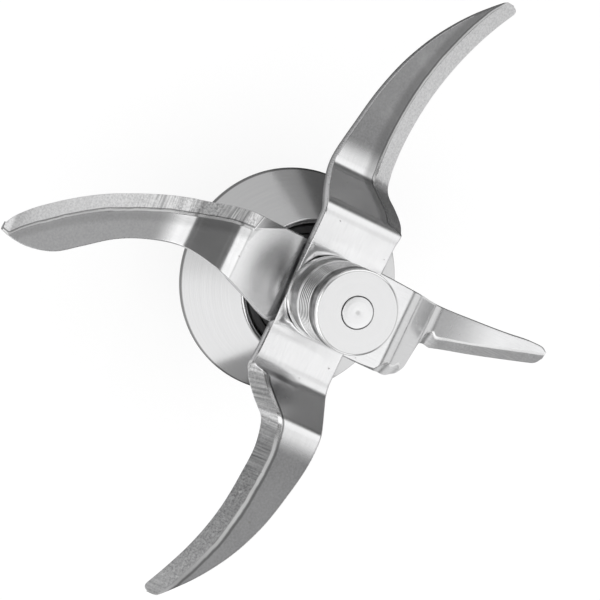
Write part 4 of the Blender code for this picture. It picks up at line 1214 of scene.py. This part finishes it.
def make_card(name, outline, low, high, start=-1.0, end=1.0, height=-0.1):
    """Card beside the object that only metal mirrors; its brightness runs from low to high along X."""
    s = Surface(name, grey(0.10), 0.9)
    glow = s.node("ShaderNodeEmission")
    level = s.span(s.separate()[0], start, end, low, high, smooth=True)
    mottle = s.spread(s.noise(4.0, detail=1.0), 0.94, 1.06)
    s.link(s.times(level, mottle), glow.inputs["Strength"])
    s.link(glow.outputs[0], s.output)
    obj = placed(name, flat_mesh(name, outline, s.mat))
    obj.location = (0.0, 0.0, height * MM)
    for rays in ("camera", "diffuse", "shadow", "transmission"):
        setattr(obj, "visible_" + rays, False)


def make_cards():
    make_card("dark_card", [(-1.5, -1.5), (1.5, -1.5), (1.5, 0.35), (-1.5, -0.31)], 0.10, 0.10)
    for x, near_y, far_y in ((-1.5, -0.31, -0.95), (1.5, 0.35, -0.15)):
        make_card("dusk_card", [(0.0, 0.02), (x, near_y), (x, far_y)], 0.32, 0.32, height=-0.07)
    make_card("pale_card", [(0.0, -0.02), (-1.2, -1.3), (1.2, -1.3)], 0.78, 0.78, height=-0.05)
    make_card("grey_card", [(-0.06, 0.008), (1.5, 0.351), (1.5, 1.5), (-0.06, 1.5)], 0.82, 0.58, -0.06, 0.06)


def make_floor():
    """Matt floor that is also lit from within for the rays that see it, so that it stays pale."""
    s = Surface("pale_floor", grey(0.9), 0.9)
    s.colour(s.mix(s.spread(s.noise(3.0)), grey(0.90), grey(0.93)))
    path = s.node("ShaderNodeLightPath").outputs
    seen = s.math("MAXIMUM", path["Is Camera Ray"], path["Is Glossy Ray"])
    seen = s.math("MAXIMUM", seen, path["Is Transmission Ray"])
    glow = s.node("ShaderNodeEmission")
    s.link(FLOOR_GLOW, glow.inputs["Strength"])
    mix = s.node("ShaderNodeMixShader")
    s.link(s.times(seen, FLOOR_GLOW_SHARE), mix.inputs[0])
    s.link(s.shader.outputs[0], mix.inputs[1])
    s.link(glow.outputs[0], mix.inputs[2])
    s.link(mix.outputs[0], s.output)
    h = FLOOR_HALF
    obj = placed("floor", flat_mesh("floor", [(-h, -h), (h, -h), (h, h), (-h, h)], s.mat))
    obj.location = (0.0, 0.0, FLOOR_Z)


def make_lamps():
    """Soft lamps for the matt surfaces and the floor."""
    for name, position, size, power in LAMPS:
        data = bpy.data.lights.new(name, "AREA")
        data.shape = "DISK"
        data.size = size
        data.energy = power
        obj = placed(name, data)
        obj.location = position
        obj.rotation_euler = (Vector(LAMP_TARGET) - Vector(position)).to_track_quat("-Z", "Y").to_euler()
        obj.visible_glossy = False


make_world()
make_floor()
make_cards()
make_lamps()


# Camera, fitted to the photo

TILT = radians(19.64)
HEADING = radians(25.87)
ROLL = radians(0.5)
DISTANCE = 1000.0  # depth of the bell's rim in the camera's view, in millimetres
FOCAL_PX = 5008.0
RIM_AT = (287.94, 279.61)  # place of the rim's centre in the photo, in pixels
IMAGE = 600
SENSOR = 36.0
FARTHEST = 20.0  # in metres


def make_camera():
    up = Vector((sin(TILT) * cos(HEADING), sin(TILT) * sin(HEADING), -cos(TILT)))
    along = Vector((sin(HEADING), -cos(HEADING), 0.0))
    over = up.cross(along)
    x_axis = cos(ROLL) * along + sin(ROLL) * over
    y_axis = cos(ROLL) * over - sin(ROLL) * along
    to_camera = Matrix((x_axis, y_axis, up)).transposed()
    aside, below = ((place - IMAGE / 2) / FOCAL_PX * DISTANCE for place in RIM_AT)
    offset = Vector((aside, below, DISTANCE)) - to_camera @ Vector((0.0, 0.0, RIM_Z))
    position = -(to_camera.transposed() @ offset) * MM
    turn = Matrix((to_camera[0], -to_camera[1], -to_camera[2])).transposed()
    data = bpy.data.cameras.new("camera")
    data.lens = FOCAL_PX / IMAGE * SENSOR
    data.sensor_width = SENSOR
    data.clip_end = FARTHEST
    obj = placed("camera", data)
    obj.matrix_world = Matrix.Translation(position) @ turn.to_4x4()
    bpy.context.scene.camera = obj


make_camera()
bpy.context.scene.view_settings.view_transform = "Standard"
